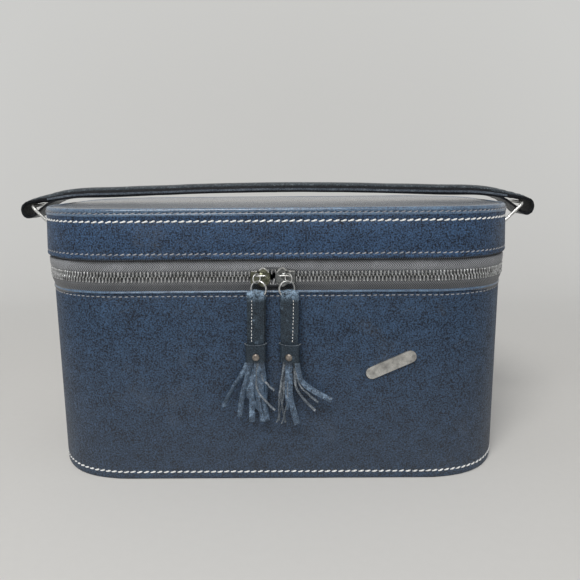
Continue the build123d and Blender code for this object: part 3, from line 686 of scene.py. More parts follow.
class ZipSettings(bpy.types.PropertyGroup):
    tooth_pitch: length_setting("Tooth pitch", "Distance between teeth in one row", 2.46)
    parted: length_setting("Parting", "How far each row is drawn aside between the sliders", 1.5)
    tape_dark: colour_setting("Tape valley colour", "Colour between the ribs of the tape",
                              (0.012, 0.013, 0.015))
    tape_light: colour_setting("Tape rib colour", "Colour on the ribs of the tape", (0.3, 0.31, 0.33))


class HandleSettings(bpy.types.PropertyGroup):
    leather: length_setting("Leather", "Thickness of the strap's leather", 1.5)
    dark: colour_setting("Valley colour", "Colour in the creases of the strap", (0.002, 0.003, 0.005))
    light: colour_setting("Ridge colour", "Colour of the strap's surface", (0.045, 0.066, 0.085))


class StageSettings(bpy.types.PropertyGroup):
    place: bpy.props.FloatVectorProperty(
        name="Camera place", description="Where the camera stands", subtype="TRANSLATION",
        default=(12.2 * MM, -465.8 * MM, 209.8 * MM))
    down: angle_setting("Camera tilt", "How far the camera looks down", 0.1975)
    yaw: angle_setting("Camera turn", "How far the camera turns to the left", 0.0059)
    roll: angle_setting("Camera roll", "Roll about the line of sight", -0.0082)
    lens: bpy.props.FloatProperty(
        name="Lens", description="Focal length on a 36 mm sensor, in millimetres", default=35.99)
    floor: colour_setting("Floor colour", "Colour of the floor round the case", (0.64, 0.63, 0.61))
    backdrop: colour_setting("Backdrop colour", "Colour that the far floor and the surroundings are seen in",
                             (0.605, 0.605, 0.59))
    key: bpy.props.FloatProperty(
        name="Key light", description="Power of the large soft lamp, in watts", default=21.0)
    fill: bpy.props.FloatProperty(
        name="Fill light", description="Power of each side lamp, in watts", default=0.3)
    sky: bpy.props.FloatProperty(
        name="Sky light", description="Strength of the surroundings", default=0.4)


# Materials of this object's own finishes


def case_leatherette(name, shades=(1.0, 1.0, 1.0), **finish):
    """The leatherette in the chosen colours, its lighter one multiplied by shades."""
    look = bpy.context.scene.train_case_leatherette
    light = tuple(value * shade for value, shade in zip(look.light, shades))
    return Finishes.get(leatherette, name, tuple(look.dark), light, tuple(look.worn), **finish)


def cover_leatherette():
    """The body's cover."""
    return case_leatherette("cover_leatherette", gloss=0.5)


def lid_leatherette():
    """The lid's cover: the body's leatherette with its lighter colour raised and made bluer."""
    return case_leatherette("lid_leatherette", (1.15, 1.22, 1.3), gloss=0.5)


def top_leatherette():
    """The lid's top: the same cover, smoother from handling."""
    return case_leatherette("top_leatherette", gloss=0.28, polish=0.9)


def piping_leatherette():
    """Leatherette stretched over the piping and the rolled edges: glossier, and lighter and bluer as a
    painted highlight of the light that these rolls catch.
    """
    return Finishes.get(leatherette, "piping_leatherette", (0.03, 0.055, 0.1), (0.135, 0.22, 0.33),
                        (0.24, 0.31, 0.39), gloss=0.26, polish=0.6)


def tassel_leather():
    """Thin leather of the pulls, pale at the top of its fold over the ring: rubbed leather there, together
    with a painted highlight.
    """
    return Finishes.get(strap_leather, "tassel_leather", (0.004, 0.009, 0.015), (0.034, 0.055, 0.078),
                        (0.32, 0.46, 0.62), gloss=0.34, level=0.56, patch=11.0, rub_from=0.1285)


def fringe_leather():
    """The pull's leather in the fringe, shinier, and made lighter and bluer with pale patches: a painted
    highlight of the glints on the strips.
    """
    return Finishes.get(strap_leather, "fringe_leather", (0.008, 0.017, 0.032), (0.11, 0.175, 0.265),
                        (0.42, 0.6, 0.82), gloss=0.28, patch=5.0, shine=0.6)


def cut_edge():
    """Pale cut edges of the collar and of the fringe's thin strips, pale enough to also stand for the light
    these edges catch: partly painted highlight.
    """
    return Finishes.get(strap_leather, "cut_edge", (0.05, 0.06, 0.075), (0.22, 0.26, 0.3), (0.6, 0.64, 0.68),
                        gloss=0.45)


def strap_inside():
    """Near-black leather of the strap: painted shade on the inner face of its folded ends, on the margins
    beside the crown and on the lower run's edges.
    """
    return Finishes.get(strap_leather, "strap_inside", (0.001, 0.001, 0.002), (0.014, 0.017, 0.022),
                        (0.06, 0.07, 0.08), gloss=0.45, level=0.6, patch=4.0, shine=0.15)


def handle_leather():
    """Leather of the carrying strap. Its fine pale specks are painted highlights of the glints on its glossy
    grain.
    """
    look = bpy.context.scene.train_case_handle
    return Finishes.get(strap_leather, "handle_leather", tuple(look.dark), tuple(look.light),
                        (0.5, 0.57, 0.62), gloss=0.32, level=0.52, patch=1.8, shine=0.25)


def strap_edge():
    """Cut and painted edges of the strap's leather, used on the upper run only, where their paler colour is
    also a painted highlight.
    """
    return Finishes.get(strap_leather, "strap_edge", (0.03, 0.038, 0.05), (0.13, 0.16, 0.2),
                        (0.3, 0.34, 0.38), gloss=0.4)


def thick_thread():
    """Cream thread of the lid's top and the base."""
    look = bpy.context.scene.train_case_thread
    return Finishes.get(thread_finish, "cream_thread", tuple(look.soiled), tuple(look.light))


def fine_thread():
    """Blue-grey thread of the edges."""
    look = bpy.context.scene.train_case_thread
    dark = tuple(value * 0.55 for value in look.tonal)
    return Finishes.get(thread_finish, "tonal_thread", dark, tuple(look.tonal))


def zip_tape_cloth(side, share):
    """Taupe tape of one side, its ribs multiplied by share: a lighter copy for the upper tape and a darker
    copy for the lower one, as painted light and painted shade.
    """
    look = bpy.context.scene.train_case_zip
    light = tuple(value * share for value in look.tape_light)
    return Finishes.get(tape_finish, f"zip_tape_cloth_{side}", tuple(look.tape_dark), light)


def tooth_metal():
    """Antique nickel of the teeth."""
    return Finishes.get(plated_metal, "tooth_metal", (0.6, 0.61, 0.62), (0.18, 0.18, 0.18), roughness=0.36)


def nub_metal():
    """Brighter metal on the fronts of the teeth's nubs: a painted highlight for the glints on the teeth."""
    return Finishes.get(plated_metal, "nub_metal", (0.92, 0.93, 0.93), (0.5, 0.5, 0.49), roughness=0.38)


def nickel_plate():
    """Nickel of rings, links and rivets."""
    return Finishes.get(plated_metal, "nickel_plate", (0.78, 0.78, 0.77), (0.4, 0.4, 0.39), roughness=0.2)


def olive_brass():
    """Yellowed plate of the left slider."""
    return Finishes.get(plated_metal, "olive_brass", (0.2, 0.205, 0.15), (0.07, 0.072, 0.05), roughness=0.26)


def grey_nickel():
    """Greyer plate of the right slider."""
    return Finishes.get(plated_metal, "grey_nickel", (0.24, 0.25, 0.25), (0.09, 0.09, 0.09), roughness=0.26)


def antique_brass():
    """Dull brass of the studs."""
    return Finishes.get(plated_metal, "antique_brass", (0.36, 0.325, 0.29), (0.14, 0.12, 0.105),
                        roughness=0.3)


def badge_metal():
    """Dull plate of the badge."""
    return Finishes.get(plated_metal, "badge_plate", (0.62, 0.61, 0.58), (0.3, 0.295, 0.285), roughness=0.24,
                        patch=5.0)


def lining_cloth():
    """Taupe lining."""
    return Finishes.get(woven_lining, "lining_cloth", (0.15, 0.138, 0.132), (0.28, 0.262, 0.25))


def pocket_lining():
    """The lining's cloth, a shade darker, in the pocket."""
    return Finishes.get(woven_lining, "pocket_cloth", (0.13, 0.12, 0.116), (0.25, 0.235, 0.225))


def fibre_board():
    """The stiff boards inside the walls."""
    return Finishes.get(pressed_board, "fibre_board", (0.2, 0.16, 0.115), (0.42, 0.35, 0.27))


# Pieces

# Turns a form made about Z so that it faces the front
FORWARD = Matrix.Rotation(math.pi / 2, 4, "X")


def wavy(distance, height, amount, seed):
    """Slow unevenness of a stretched cover, without a jump where the band closes."""
    point = outline_at(distance)[0] * 0.021
    return amount * noise.noise(point + Vector((0, 0, height * 0.03 + seed * 10)))


def groove(height, depth, reach, inset):
    """Profile points, from above, where a line of stitching pulls a cover in."""
    steps = ((0.0, 1.0), (0.5, 0.5), (1.0, 0.1), (1.0, -0.1), (0.5, -0.5), (0.0, -1.0))
    return [(inset + depth * deep, height + reach * up) for deep, up in steps]


def puckered(lines, pitch, amount, seed, flare):
    """A band shape that waves slowly, swells between the stitches of its lines and flares on the sides."""

    def shape(distance, inset, height):
        inset += wavy(distance, height, amount, seed) - flare(height) * to_the_side(distance)
        for line in lines:
            near = max(0.0, 1 - abs(height - line) / 2.4)
            inset -= near * 0.12 * math.cos(math.tau * distance / pitch)
        return inset, height

    return shape


def body_flare(height):
    """How far the body's sides swell, most at the foot, where the board has spread."""
    return 1.9 - 0.9 * min(1.0, height / FOLD_Z)


def lid_flare(height):
    """How far the lid's sides swell towards its lower edge."""
    return 1.0 * smooth_step(LID_RIM_Z - height, 2.0, 26.0)


def zip_swell(distance):
    """How far the zip band stands out round the corners and sides."""
    return 2.9 * to_the_side(distance)


def count_for(pitch):
    """A whole number of stitches round the case, and the true pitch that it gives."""
    number = round(PERIMETER / pitch)
    return number, PERIMETER / number


def one_stitch(length, width):
    """A twisted two-ply stitch along X whose ends dive into the leather."""

    def place(along, across):
        full = min(1.0, 0.45 + 6 * min(along, 1 - along))
        angle = across * math.tau
        section = Vector((0, full * width * 0.6 * math.cos(angle), full * width * 0.42 * math.sin(angle)))
        dive = Vector(((along - 0.5) * length, 0, -width * 0.7 * abs(2 * along - 1) ** 3))
        return Matrix.Rotation(along * math.radians(250), 3, "X") @ section + dive

    return close_ends(strip_mesh(8, 7, place))


def stitch_line(name, inset, height, look, material, flare, **riding):
    """A line of separate stitches round the case. look gives pitch, stitch length, width and slant."""
    pitch, length, width, slant = look
    number, pitch = count_for(pitch)
    dice = random.Random(name)
    mesh = bmesh.new()
    places = []
    for index in range(number):
        distance = (index + 0.5) * pitch
        point, out = outline_at(distance)
        deep = inset - width * 0.12 - flare(height) * to_the_side(distance)
        seat = point - out * deep + upwards(height + dice.uniform(-0.12, 0.12))
        tilt = Matrix.Rotation(slant + dice.uniform(-0.05, 0.05), 4, "Z")
        longer = Matrix.Scale(dice.uniform(0.95, 1.04), 4, (1, 0, 0))
        places.append(placed(seat, run_along(out), upwards(1), out) @ tilt @ longer)
    add_copies(mesh, one_stitch(length, width), places)
    return piece(mesh, name, material, **riding)


class TRAINCASE_OT_body_cover(bpy.types.Operator):
    """Leatherette over the body's wall and base, rolled at its upper fold and drawn in at its stitching"""

    bl_idname = "traincase.body_cover"
    bl_label = "Body cover"

    def execute(self, context):
        amount = context.scene.train_case_leatherette.wobble / MM
        edge, base = middle_of("body_edge_stitching"), middle_of("base_stitching")
        skin, inner = BODY_INSET, BODY_INSET + 1.2
        roll = [(inner, FOLD_Z - 0.5), (skin + 0.9, FOLD_Z), (skin + 0.3, FOLD_Z),
                (skin - 0.25, FOLD_Z - 0.4), (skin - 0.45, FOLD_Z - 0.95), (skin - 0.3, FOLD_Z - 1.45),
                (skin + 0.35, FOLD_Z - 1.75), (skin + 0.4, FOLD_Z - 2.1), (skin - 0.05, FOLD_Z - 2.5)]
        wall = groove(edge, 0.4, 1.1, skin - 0.02) + groove(base, 0.35, 1.2, skin)
        foot = [(skin, 1.9), (skin + 0.08, 1.0), (skin + 0.35, 0.4), (skin + 1.0, 0.0), (skin + 1.2, 0.4),
                (inner, 3.0)]
        profile = roll + wall + foot + [roll[0]]
        pitch = count_for(context.scene.train_case_thread.pitch / MM)[1]
        mesh = band(profile, 800, shape=puckered((base,), pitch, amount, 3.1, body_flare))
        # Painted highlight: the faces of the rolled fold take the lighter piping leatherette
        for face in mesh.faces:
            face.material_index = int(face.calc_center_median().z > FOLD_Z - 1.3)
        piece(mesh, "body_wall_leatherette", (cover_leatherette(), piping_leatherette()), "case_body",
              ("body_wall_cover",), "leatherette")
        base_profile = [(skin + 0.9, 0.0), (skin + 4, 0.0), (30, 0.0), (55, 0.0)]
        mesh = band(base_profile, 240)
        fill_middle(mesh)
        bmesh.ops.solidify(mesh, geom=list(mesh.faces), thickness=1.4)
        close_mesh(mesh)
        bottom = min(v.co.z for v in mesh.verts)
        bmesh.ops.translate(mesh, vec=(0, 0, 0.02 - bottom), verts=mesh.verts)
        piece(mesh, "base_leatherette", cover_leatherette(), "case_body", ("base_cover",), "leatherette")
        return {"FINISHED"}


class TRAINCASE_OT_lid_cover(bpy.types.Operator):
    """Leatherette over the lid's wall and top, with the piping round the top edge"""

    bl_idname = "traincase.lid_cover"
    bl_label = "Lid cover"

    def execute(self, context):
        amount = context.scene.train_case_leatherette.wobble / MM
        edge, upper = middle_of("lid_edge_stitching"), middle_of("lid_top_stitching")
        low, rim, inner = LID_EDGE_Z, LID_RIM_Z, 1.3
        crest = [(inner, rim - 0.6), (0.85, rim + 0.2), (0.5, rim + 0.45), (0.05, rim + 0.5),
                 (-0.3, rim + 0.2), (-0.42, rim - 0.4), (-0.3, rim - 1.1), (-0.1, rim - 2.0)]
        wall = groove(upper, 0.55, 1.3, 0.0) + groove(edge, 0.4, 1.1, -0.05)
        roll = [(-0.22, low + 1.7), (-0.26, low + 1.0), (-0.05, low + 0.3), (0.45, low), (0.95, low + 0.1),
                (inner, low + 0.7)]
        profile = crest + wall + roll + [crest[0]]
        pitch = count_for(context.scene.train_case_thread.pitch / MM)[1]
        mesh = band(profile, 800, shape=puckered((upper,), pitch, amount, 7.7, lid_flare))
        # Painted highlight: the faces of the crest under the piping take the lighter piping leatherette
        for face in mesh.faces:
            face.material_index = int(face.calc_center_median().z > rim - 0.8)
        piece(mesh, "lid_wall_leatherette", (lid_leatherette(), piping_leatherette()), "lid",
              ("lid_wall_cover",), "leatherette")

        low_top, high_top = node_box("lid_top_cover")
        seam = HALF_WIDTH - high_top.x
        top = high_top.z
        rows = [(seam + 0.1, low_top.z), (seam, top - 0.7), (seam + 0.25, top - 0.2), (seam + 0.8, top),
                (8, top + 0.12), (14, top + 0.2), (24, top + 0.25), (38, top + 0.28), (50, top + 0.28),
                (58, top + 0.28)]

        def sag(distance, inset, height):
            fade = smooth_step(inset, 5.0, 10.0) * (1 - smooth_step(inset, 36.0, 50.0))
            return inset, height + wavy(distance, inset, 0.22, 1.3) * fade

        mesh = band(rows, 320, shape=sag)
        fill_middle(mesh)
        close_mesh(mesh)
        piece(mesh, "lid_top_leatherette", top_leatherette(), "lid", ("lid_top_cover",), "leatherette")

        low_pipe, high_pipe = node_box("lid_piping")
        radius = (high_pipe.z - low_pipe.z) / 2
        middle = (low_pipe.z + high_pipe.z) / 2
        turns = 20
        ring = [(radius + radius * math.cos(math.tau * k / turns),
                 middle + radius * math.sin(math.tau * k / turns))
                for k in range(turns + 1)]

        def lumpy(distance, inset, height):
            swell = 1 + 0.045 * noise.noise(outline_at(distance)[0] * 0.11)
            return radius + (inset - radius) * swell, middle + (height - middle) * swell

        mesh = band(ring, 640, shape=lumpy)
        # Painted highlight: the whole piping roll is in the lighter piping leatherette
        piece(mesh, "lid_piping_roll", piping_leatherette(), "lid", ("lid_piping",), "leatherette")
        return {"FINISHED"}


class TRAINCASE_OT_stitching(bpy.types.Operator):
    """Five lines of separate stitches: thick cream thread at top and base, fine thread at the edges"""

    bl_idname = "traincase.stitching"
    bl_label = "Stitching"

    def execute(self, context):
        look = context.scene.train_case_thread
        thick = (look.pitch / MM, look.pitch / MM * 1.04, look.width / MM, look.slant)
        fine = (look.fine_pitch / MM, look.fine_pitch / MM * 0.9, look.fine_width / MM, look.slant * 1.3)
        plain = (look.fine_pitch / MM, look.fine_pitch / MM * 0.72, look.fine_width / MM * 0.85,
                 look.slant * 0.3)
        rows = (
            ("lid_top_stitches", 0.45, "lid_top_stitching", thick, thick_thread(), "lid", "white_thread"),
            ("lid_edge_stitches", 0.35, "lid_edge_stitching", fine, fine_thread(), "lid", "tonal_thread"),
            ("body_edge_stitches", BODY_INSET + 0.38, "body_edge_stitching", plain, fine_thread(),
             "case_body", "tonal_thread"),
            ("base_stitches", BODY_INSET + 0.35, "base_stitching", thick, thick_thread(), "case_body",
             "white_thread"),
        )
        seam = (fine[0], fine[1], look.fine_width / MM * 0.7, look.slant)
        stitch_line("piping_stitches", -0.1, LID_RIM_Z + 0.55, seam, fine_thread(), lid_flare, body="lid",
                    slot="tonal_thread")
        for name, inset, node, size, material, body, slot in rows:
            flare = (body_flare, lid_flare)[body == "lid"]
            stitch_line(name, inset, middle_of(node), size, material, flare, body=body, nodes=(node,),
                        slot=slot)
        return {"FINISHED"}


PAIR_X = (node_box("slider_left")[1].x + node_box("slider_right")[0].x) / 2
SLIDER_REACH = node_box("slider_right")[1].x - PAIR_X


def parting_at(distance, parted):
    """How far a row of teeth is drawn aside, most between the two sliders."""
    away = abs(distance - PAIR_X)
    if away > PERIMETER / 2:
        away = PERIMETER - away
    return parted * (1 - smooth_step(away, 3.0, SLIDER_REACH - 1.5))


def one_tooth():
    """One zip tooth: legs on the tape's edge, a narrow head below and two bright nubs on its front."""
    mesh = bmesh.new()
    bmesh.ops.create_cube(mesh, size=1.0, matrix=Matrix.Diagonal((1.3, 2.8, 3.7, 1.0)))
    for vert in mesh.verts:
        if vert.co.z < 0:
            vert.co.x *= 0.72
            vert.co.y *= 0.8
    soften(mesh, 0.24, 1)
    for height in (-0.85, 1.35):
        bmesh.ops.create_cone(mesh, cap_ends=True, segments=6, radius1=0.58, radius2=0.34, depth=0.6,
                              matrix=Matrix.Translation((0, -1.28, height)) @ FORWARD)
    # Painted highlight: the nubs' front faces take the brighter metal
    for face in mesh.faces:
        face.material_index = int(face.calc_center_median().y < -1.41)
    return mesh


def tape_profile(name, side, near, far):
    """The cross-section of one zip tape, from the teeth to its far edge and back along its inside."""
    reaches = (0.0, 0.3, 0.9, 1.6, 2.3, 3.4, 5.0, 7.0, 8.6, 9.4, 9.8, 10.3, 10.8, 11.4, abs(far - near))
    hollow = {"lower": (-0.7, -0.3, 0.5, 0.6, 0.3, 0.1, 0.1, 0.1, 0.1, 0.1),
              "upper": (-0.9, -1.25, -1.3, -1.2, -0.8, 0.4, 1.6, 1.4, 0.2, 0.1)}[name]
    depths = (1.2, 1.2, 1.1, 0.8, -0.3, *hollow)
    skin = [(TAPE_INSET + deep, near + side * reach) for deep, reach in zip(depths, reaches)]
    back = [(TAPE_INSET + 0.8, near + side * reach) for reach in reversed(reaches)]
    return skin + back + [skin[0]]


def tape_shape(side, near, parted):
    """A band shape for one zip tape, which parts and bulges between the sliders and swells at the sides."""
    # The lower tape falls in under the sliders
    sag_depth, sag_middle, sag_half = 4.2, -1.2, 11.0
    sag_low, sag_high = FOLD_Z - 1.2, FOLD_Z + 4.1

    def shape(distance, inset, height):
        apart = parting_at(distance, parted)
        fade = 1 - smooth_step(side * (height - near), 0.0, 9.0)
        bulge = apart / parted * math.exp(-((side * (height - near) - 5.0) / 3.0) ** 2) * 1.6
        reach = 1 - smooth_step(side * (height - near), 9.0, 16.0)
        if side < 0:
            sag = smooth_step(height, sag_low, sag_low + 1.2)
            sag *= 1 - smooth_step(height, sag_high - 1.3, sag_high)
            inset += sag_depth * sag * math.exp(-((distance - sag_middle) / sag_half) ** 6)
        inset += wavy(distance, height, 0.25, 2.0 + side) - bulge
        inset -= zip_swell(distance) * max(reach, 0.45)
        return inset, height + side * apart * fade

    return shape


def tooth_places(name, side, pitch, parted):
    """Where the teeth of one row sit. They lean a little where the row is drawn aside."""
    number = int((BACK_MIDDLE - HINGE_HALF - 4.0) / pitch)
    offset = (0.25, -0.25)[side > 0] * pitch
    dice = random.Random(name)
    places = []
    for index in range(-number, number + 1):
        distance = PAIR_X + index * pitch + offset
        point, out = outline_at(distance)
        aside = parting_at(distance, parted)
        middle = PARTING_Z + side * (1.62 + aside)
        depth = TAPE_INSET + 0.4 - zip_swell(distance)
        seat = placed(point - out * depth + upwards(middle), run_along(out), -out, upwards(1))
        flip = Matrix.Diagonal((1, 1, side, 1))
        lean = Matrix.Rotation(side * 0.16 * aside / parted * (1, -1)[distance > PAIR_X], 4, "Y")
        tilt = Matrix.Rotation(dice.uniform(-0.04, 0.04), 4, "Y")
        places.append(seat @ lean @ tilt @ flip)
    return places


class TRAINCASE_OT_zip(bpy.types.Operator):
    """Two woven tapes and two rows of separate metal teeth, parted between the sliders"""

    bl_idname = "traincase.zip"
    bl_label = "Zip tapes and teeth"

    def execute(self, context):
        look = context.scene.train_case_zip
        parted, pitch = look.parted / MM, look.tooth_pitch / MM
        start = HINGE_HALF - BACK_MIDDLE
        length = 2 * (BACK_MIDDLE - HINGE_HALF)
        tape_top = node_box("zip_tape_lower")[1].z
        rows = ((-1, "lower", "case_body", TAPE_LOW_Z), (1, "upper", "lid", TAPE_HIGH_Z))

        for side, name, body, far in rows:
            near = PARTING_Z + side * (PARTING_Z - tape_top)
            profile = tape_profile(name, side, near, far)
            mesh = close_ends(band(profile, 620, start, length, tape_shape(side, near, parted)))
            # Painted light: the upper tape's cloth is made lighter and the lower tape's cloth darker, which
            # stands for the shade that the pulls and sliders cast on it
            cloth = zip_tape_cloth(name, 1.22 if side > 0 else 0.56)
            tape = piece(mesh, f"zip_tape_cloth_{name}", cloth, body, (f"zip_tape_{name}",), "zip_tape")

            mesh = add_copies(bmesh.new(), one_tooth(), tooth_places(name, side, pitch, parted))
            bmesh.ops.recalc_face_normals(mesh, faces=mesh.faces)
            piece(mesh, f"zip_tooth_row_{name}", (tooth_metal(), nub_metal()), body, (f"zip_teeth_{name}",),
                  "zip_metal")
        return {"FINISHED"}


class TRAINCASE_OT_frame_finishes(bpy.types.Operator):
    """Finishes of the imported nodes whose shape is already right"""

    bl_idname = "traincase.frame_finishes"
    bl_label = "Finishes of the frame"

    def execute(self, context):
        looks = {
            fibre_board: ("base_board", "body_wall_board", "lid_wall_board", "lid_top_board"),
            tooth_metal: ("zip_end_stops",),
        }
        for finish, names in looks.items():
            for name in names:
                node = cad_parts[name]
                node.data.materials.clear()
                node.data.materials.append(finish())
        return {"FINISHED"}


PULL_SIDES = (("left", -1), ("right", 1))


def slider_casting(low, high, sign):
    """A slider's two plates with rounded shoulders, the front one rimmed, and the domed lug on it."""
    top_edge = ((1.7, 1.3), (2.3, 3.2), (3.7, 5.1), (5.2, 6.1), (6.6, 6.4), (7.7, 5.9), (8.9, 4.9),
                (10.4, 4.35), (12.4, 4.2), (14.0, 4.15), (14.4, 3.8))
    edge = list(top_edge) + [(x, -z) for x, z in reversed(top_edge)]
    mesh = plate(edge, 1.45, bevel=0)
    front = min(mesh.faces, key=lambda f: f.calc_center_median().y)
    bmesh.ops.inset_region(mesh, faces=[front], thickness=0.9, depth=0.0)
    bmesh.ops.translate(mesh, vec=(0, 0.6, 0), verts=list(front.verts))
    soften(mesh, 0.3, 2, 35)
    bmesh.ops.translate(mesh, vec=(0, low.y - 0.7, 0), verts=mesh.verts)
    back = plate([(x * 0.97 + 0.3, z * 0.93) for x, z in edge], 1.1, 0.2)
    add_copies(mesh, back, [Matrix.Translation((0, high.y - 1.1, 0))])
    lug = turned([(0, 1.0), (0.8, 0.95), (1.5, 0.7), (1.95, 0.3), (2.1, -0.2), (0, -0.3)], 28)
    seat = Matrix.Translation((7.4, low.y + 0.1, 0.9)) @ Matrix.Diagonal((1.25, 1, 0.9, 1)) @ FORWARD
    add_copies(mesh, lug, [seat])
    bmesh.ops.scale(mesh, vec=(sign, 1, 1), verts=mesh.verts)
    bmesh.ops.translate(mesh, vec=(PAIR_X, 0, PARTING_Z), verts=mesh.verts)
    bmesh.ops.recalc_face_normals(mesh, faces=mesh.faces)
    return mesh


def bridge_knots(bar, low, high):
    """Points along a slider's wire bridge, up from the plate, across and down again."""
    half, deep, foot_y = (high.x - low.x) / 2 - 0.5, low.y + 0.5, -92.6
    half_bridge = ((half, foot_y), (half, foot_y - 1.6), (half - 0.15, deep + 0.45), (half - 0.7, deep),
                   (1.6, deep))
    spots = [(-x, y) for x, y in half_bridge] + list(reversed(half_bridge))
    return [Vector((bar.x + x, y, bar.z)) for x, y in spots]


class TRAINCASE_OT_sliders(bpy.types.Operator):
    """Two cast sliders: plates with rounded shoulders, a rim whose upper edge carries a painted highlight in
    brighter nickel, a domed lug and a wire bridge
    """

    bl_idname = "traincase.sliders"
    bl_label = "Zip sliders"

    def execute(self, context):
        for side, sign in PULL_SIDES:
            finish = (olive_brass, grey_nickel)[sign > 0]()
            low, high = node_box(f"slider_{side}")
            mesh = slider_casting(low, high, sign)
            # Painted highlight: the small faces on the front plate's upper rim take the brighter nickel, for
            # the light they catch from above
            for face in mesh.faces:
                spot = face.calc_center_median()
                on_rim = spot.z > PARTING_Z + 2.6 and spot.y < low.y + 0.5
                face.material_index = int(face.calc_area() < 4 and on_rim)
            piece(mesh, f"zip_slider_{side}", (finish, nickel_plate()), f"slider_{side}", (f"slider_{side}",),
                  "zip_metal")

            bridge = f"slider_bridge_{side}"
            knots = bridge_knots(centre_of(bridge), *node_box(bridge))
            mesh = wire(lambda share, knots=knots: spline_at(knots, share), 60, 0.52, 12,
                        across_of=upwards(1))
            piece(mesh, f"zip_bridge_{side}", nickel_plate(), f"slider_{side}", (bridge,), "zip_metal")
        return {"FINISHED"}


class TRAINCASE_OT_pull_rings(bpy.types.Operator):
    """A wire link on each bridge and the two-turn split ring that hangs from it"""

    bl_idname = "traincase.pull_rings"
    bl_label = "Links and split rings"

    def execute(self, context):
        for side, sign in PULL_SIDES:
            middle = centre_of(f"pull_link_{side}") + Vector((sign * 0.8, -0.1, 0.1))
            out = Vector((sign * 0.68, -0.73, 0))

            def hoop(share, middle=middle, out=out):
                angle = share * math.tau
                return middle + 3.15 * (math.cos(angle) * out + math.sin(angle) * upwards(1))

            mesh = wire(hoop, 64, 0.48, 12, closed=True, across_of=out.cross(upwards(1)))
            piece(mesh, f"pull_wire_link_{side}", nickel_plate(), f"pull_link_{side}", (f"pull_link_{side}",),
                  "zip_metal")

            middle = centre_of(f"pull_ring_{side}") + Vector((sign * -0.4, -0.3, 0))
            turn = Matrix.Rotation(sign * math.radians(20), 3, "Z")
            along, depth = turn @ Vector((1, 0, 0)), turn @ Vector((0, 1, 0))

            def coil(share, middle=middle, along=along, depth=depth):
                angle = share * 2 * math.tau + 2.2
                apart = 0.8 * smooth_step(share, 0.42, 0.58) - 0.4
                return middle + 5.2 * (math.cos(angle) * along + math.sin(angle) * upwards(1)) + depth * apart

            mesh = wire(coil, 150, 0.46, 12, across_of=depth)
            piece(mesh, f"split_ring_{side}", nickel_plate(), f"pull_ring_{side}", (f"pull_ring_{side}",),
                  "zip_metal")
        return {"FINISHED"}


# Each fringe strip: root and tip across from the strap's middle, tip height, bow, width and turn
LEFT_STRIPS = (
    (-4.6, -22.2, 57.0, -3.0, 3.4, 0.5), (-3.6, -11.6, 50.0, -2.0, 3.3, 0.3),
    (-2.2, 3.4, 52.5, -6.5, 3.6, -0.2), (-1.8, -3.2, 45.6, -0.6, 3.6, 0.1),
    (0.6, 4.0, 46.5, -1.0, 3.4, -0.3), (2.2, 7.0, 46.8, 0.5, 3.5, 0.4), (3.6, 6.0, 56.4, 2.4, 3.0, 0.9),
    (4.4, 12.0, 68.0, -3.4, 1.6, 1.2), (1.4, 12.4, 54.6, -5.0, 1.5, 1.1),
)
RIGHT_STRIPS = (
    (4.4, 27.4, 61.2, -5.2, 3.4, 0.4), (3.8, 18.6, 59.8, -3.6, 1.7, 1.1), (3.0, 12.6, 57.0, -3.4, 1.6, 1.2),
    (3.4, 16.6, 53.6, -4.4, 1.9, 0.9), (-0.6, 4.6, 44.4, -1.6, 3.8, 0.2), (-3.6, -7.4, 47.0, -2.2, 1.5, 1.2),
    (-4.2, -9.2, 45.0, 1.8, 1.6, 1.0), (-3.0, -3.2, 45.2, -3.0, 1.7, 1.1), (-1.8, -1.6, 55.0, -1.0, 2.4, 0.7),
    (-2.6, -5.8, 44.8, 2.2, 1.5, 1.2),
)


def fringe_strip(middle_x, middle_y, top_z, look, seed):
    """One cut strip of thin leather that hangs from the collar, bowed and turned about its length."""
    root, tip, tip_z, bow, width, turn = look
    dice = random.Random(seed)
    fall = top_z - tip_z
    lean = dice.uniform(-0.7, 0.4)
    knots = [
        Vector((root, 0, 4.0)), Vector((root, 0, 0)),
        Vector((root + (tip - root) * 0.16 + bow * 0.5, lean, -fall * 0.28)),
        Vector((root + (tip - root) * 0.42 + bow, lean * 1.6 - 0.4, -fall * 0.58)),
        Vector((root + (tip - root) * 0.74 + bow * 0.55, lean * 1.2 - 0.8, -fall * 0.83)),
        Vector((tip, lean - 1.2, -fall))]
    wave = dice.uniform(0, 6)

    def place(along, across):
        point = spline_at(knots, along)
        run = (spline_at(knots, min(1, along + 0.01)) - spline_at(knots, max(0, along - 0.01))).normalized()
        flat = run.cross(Vector((0, 1, 0))).normalized()
        angle = turn * smooth_step(along, 0.12, 0.7) + 0.25 * math.sin(along * 5 + wave)
        span = flat * math.cos(angle) + Vector((0, 1, 0)) * math.sin(angle)
        full = width * (1 - 0.12 * math.sin(along * 9 + wave) * along)
        offset = (across - 0.5) * full
        cup = 0.35 * (abs(across - 0.5) * 2) ** 2 - 0.14 * math.sin(along * 34 + wave)
        rough = 0.16 * noise.noise(Vector((along * 16, across * 2, seed * 3.7)))
        return Vector((middle_x, middle_y, top_z)) + point + span * offset + span.cross(run) * (cup + rough)

    return thicken(strip_mesh(6, 42, place), 0.85 if width > 2 else 0.6)


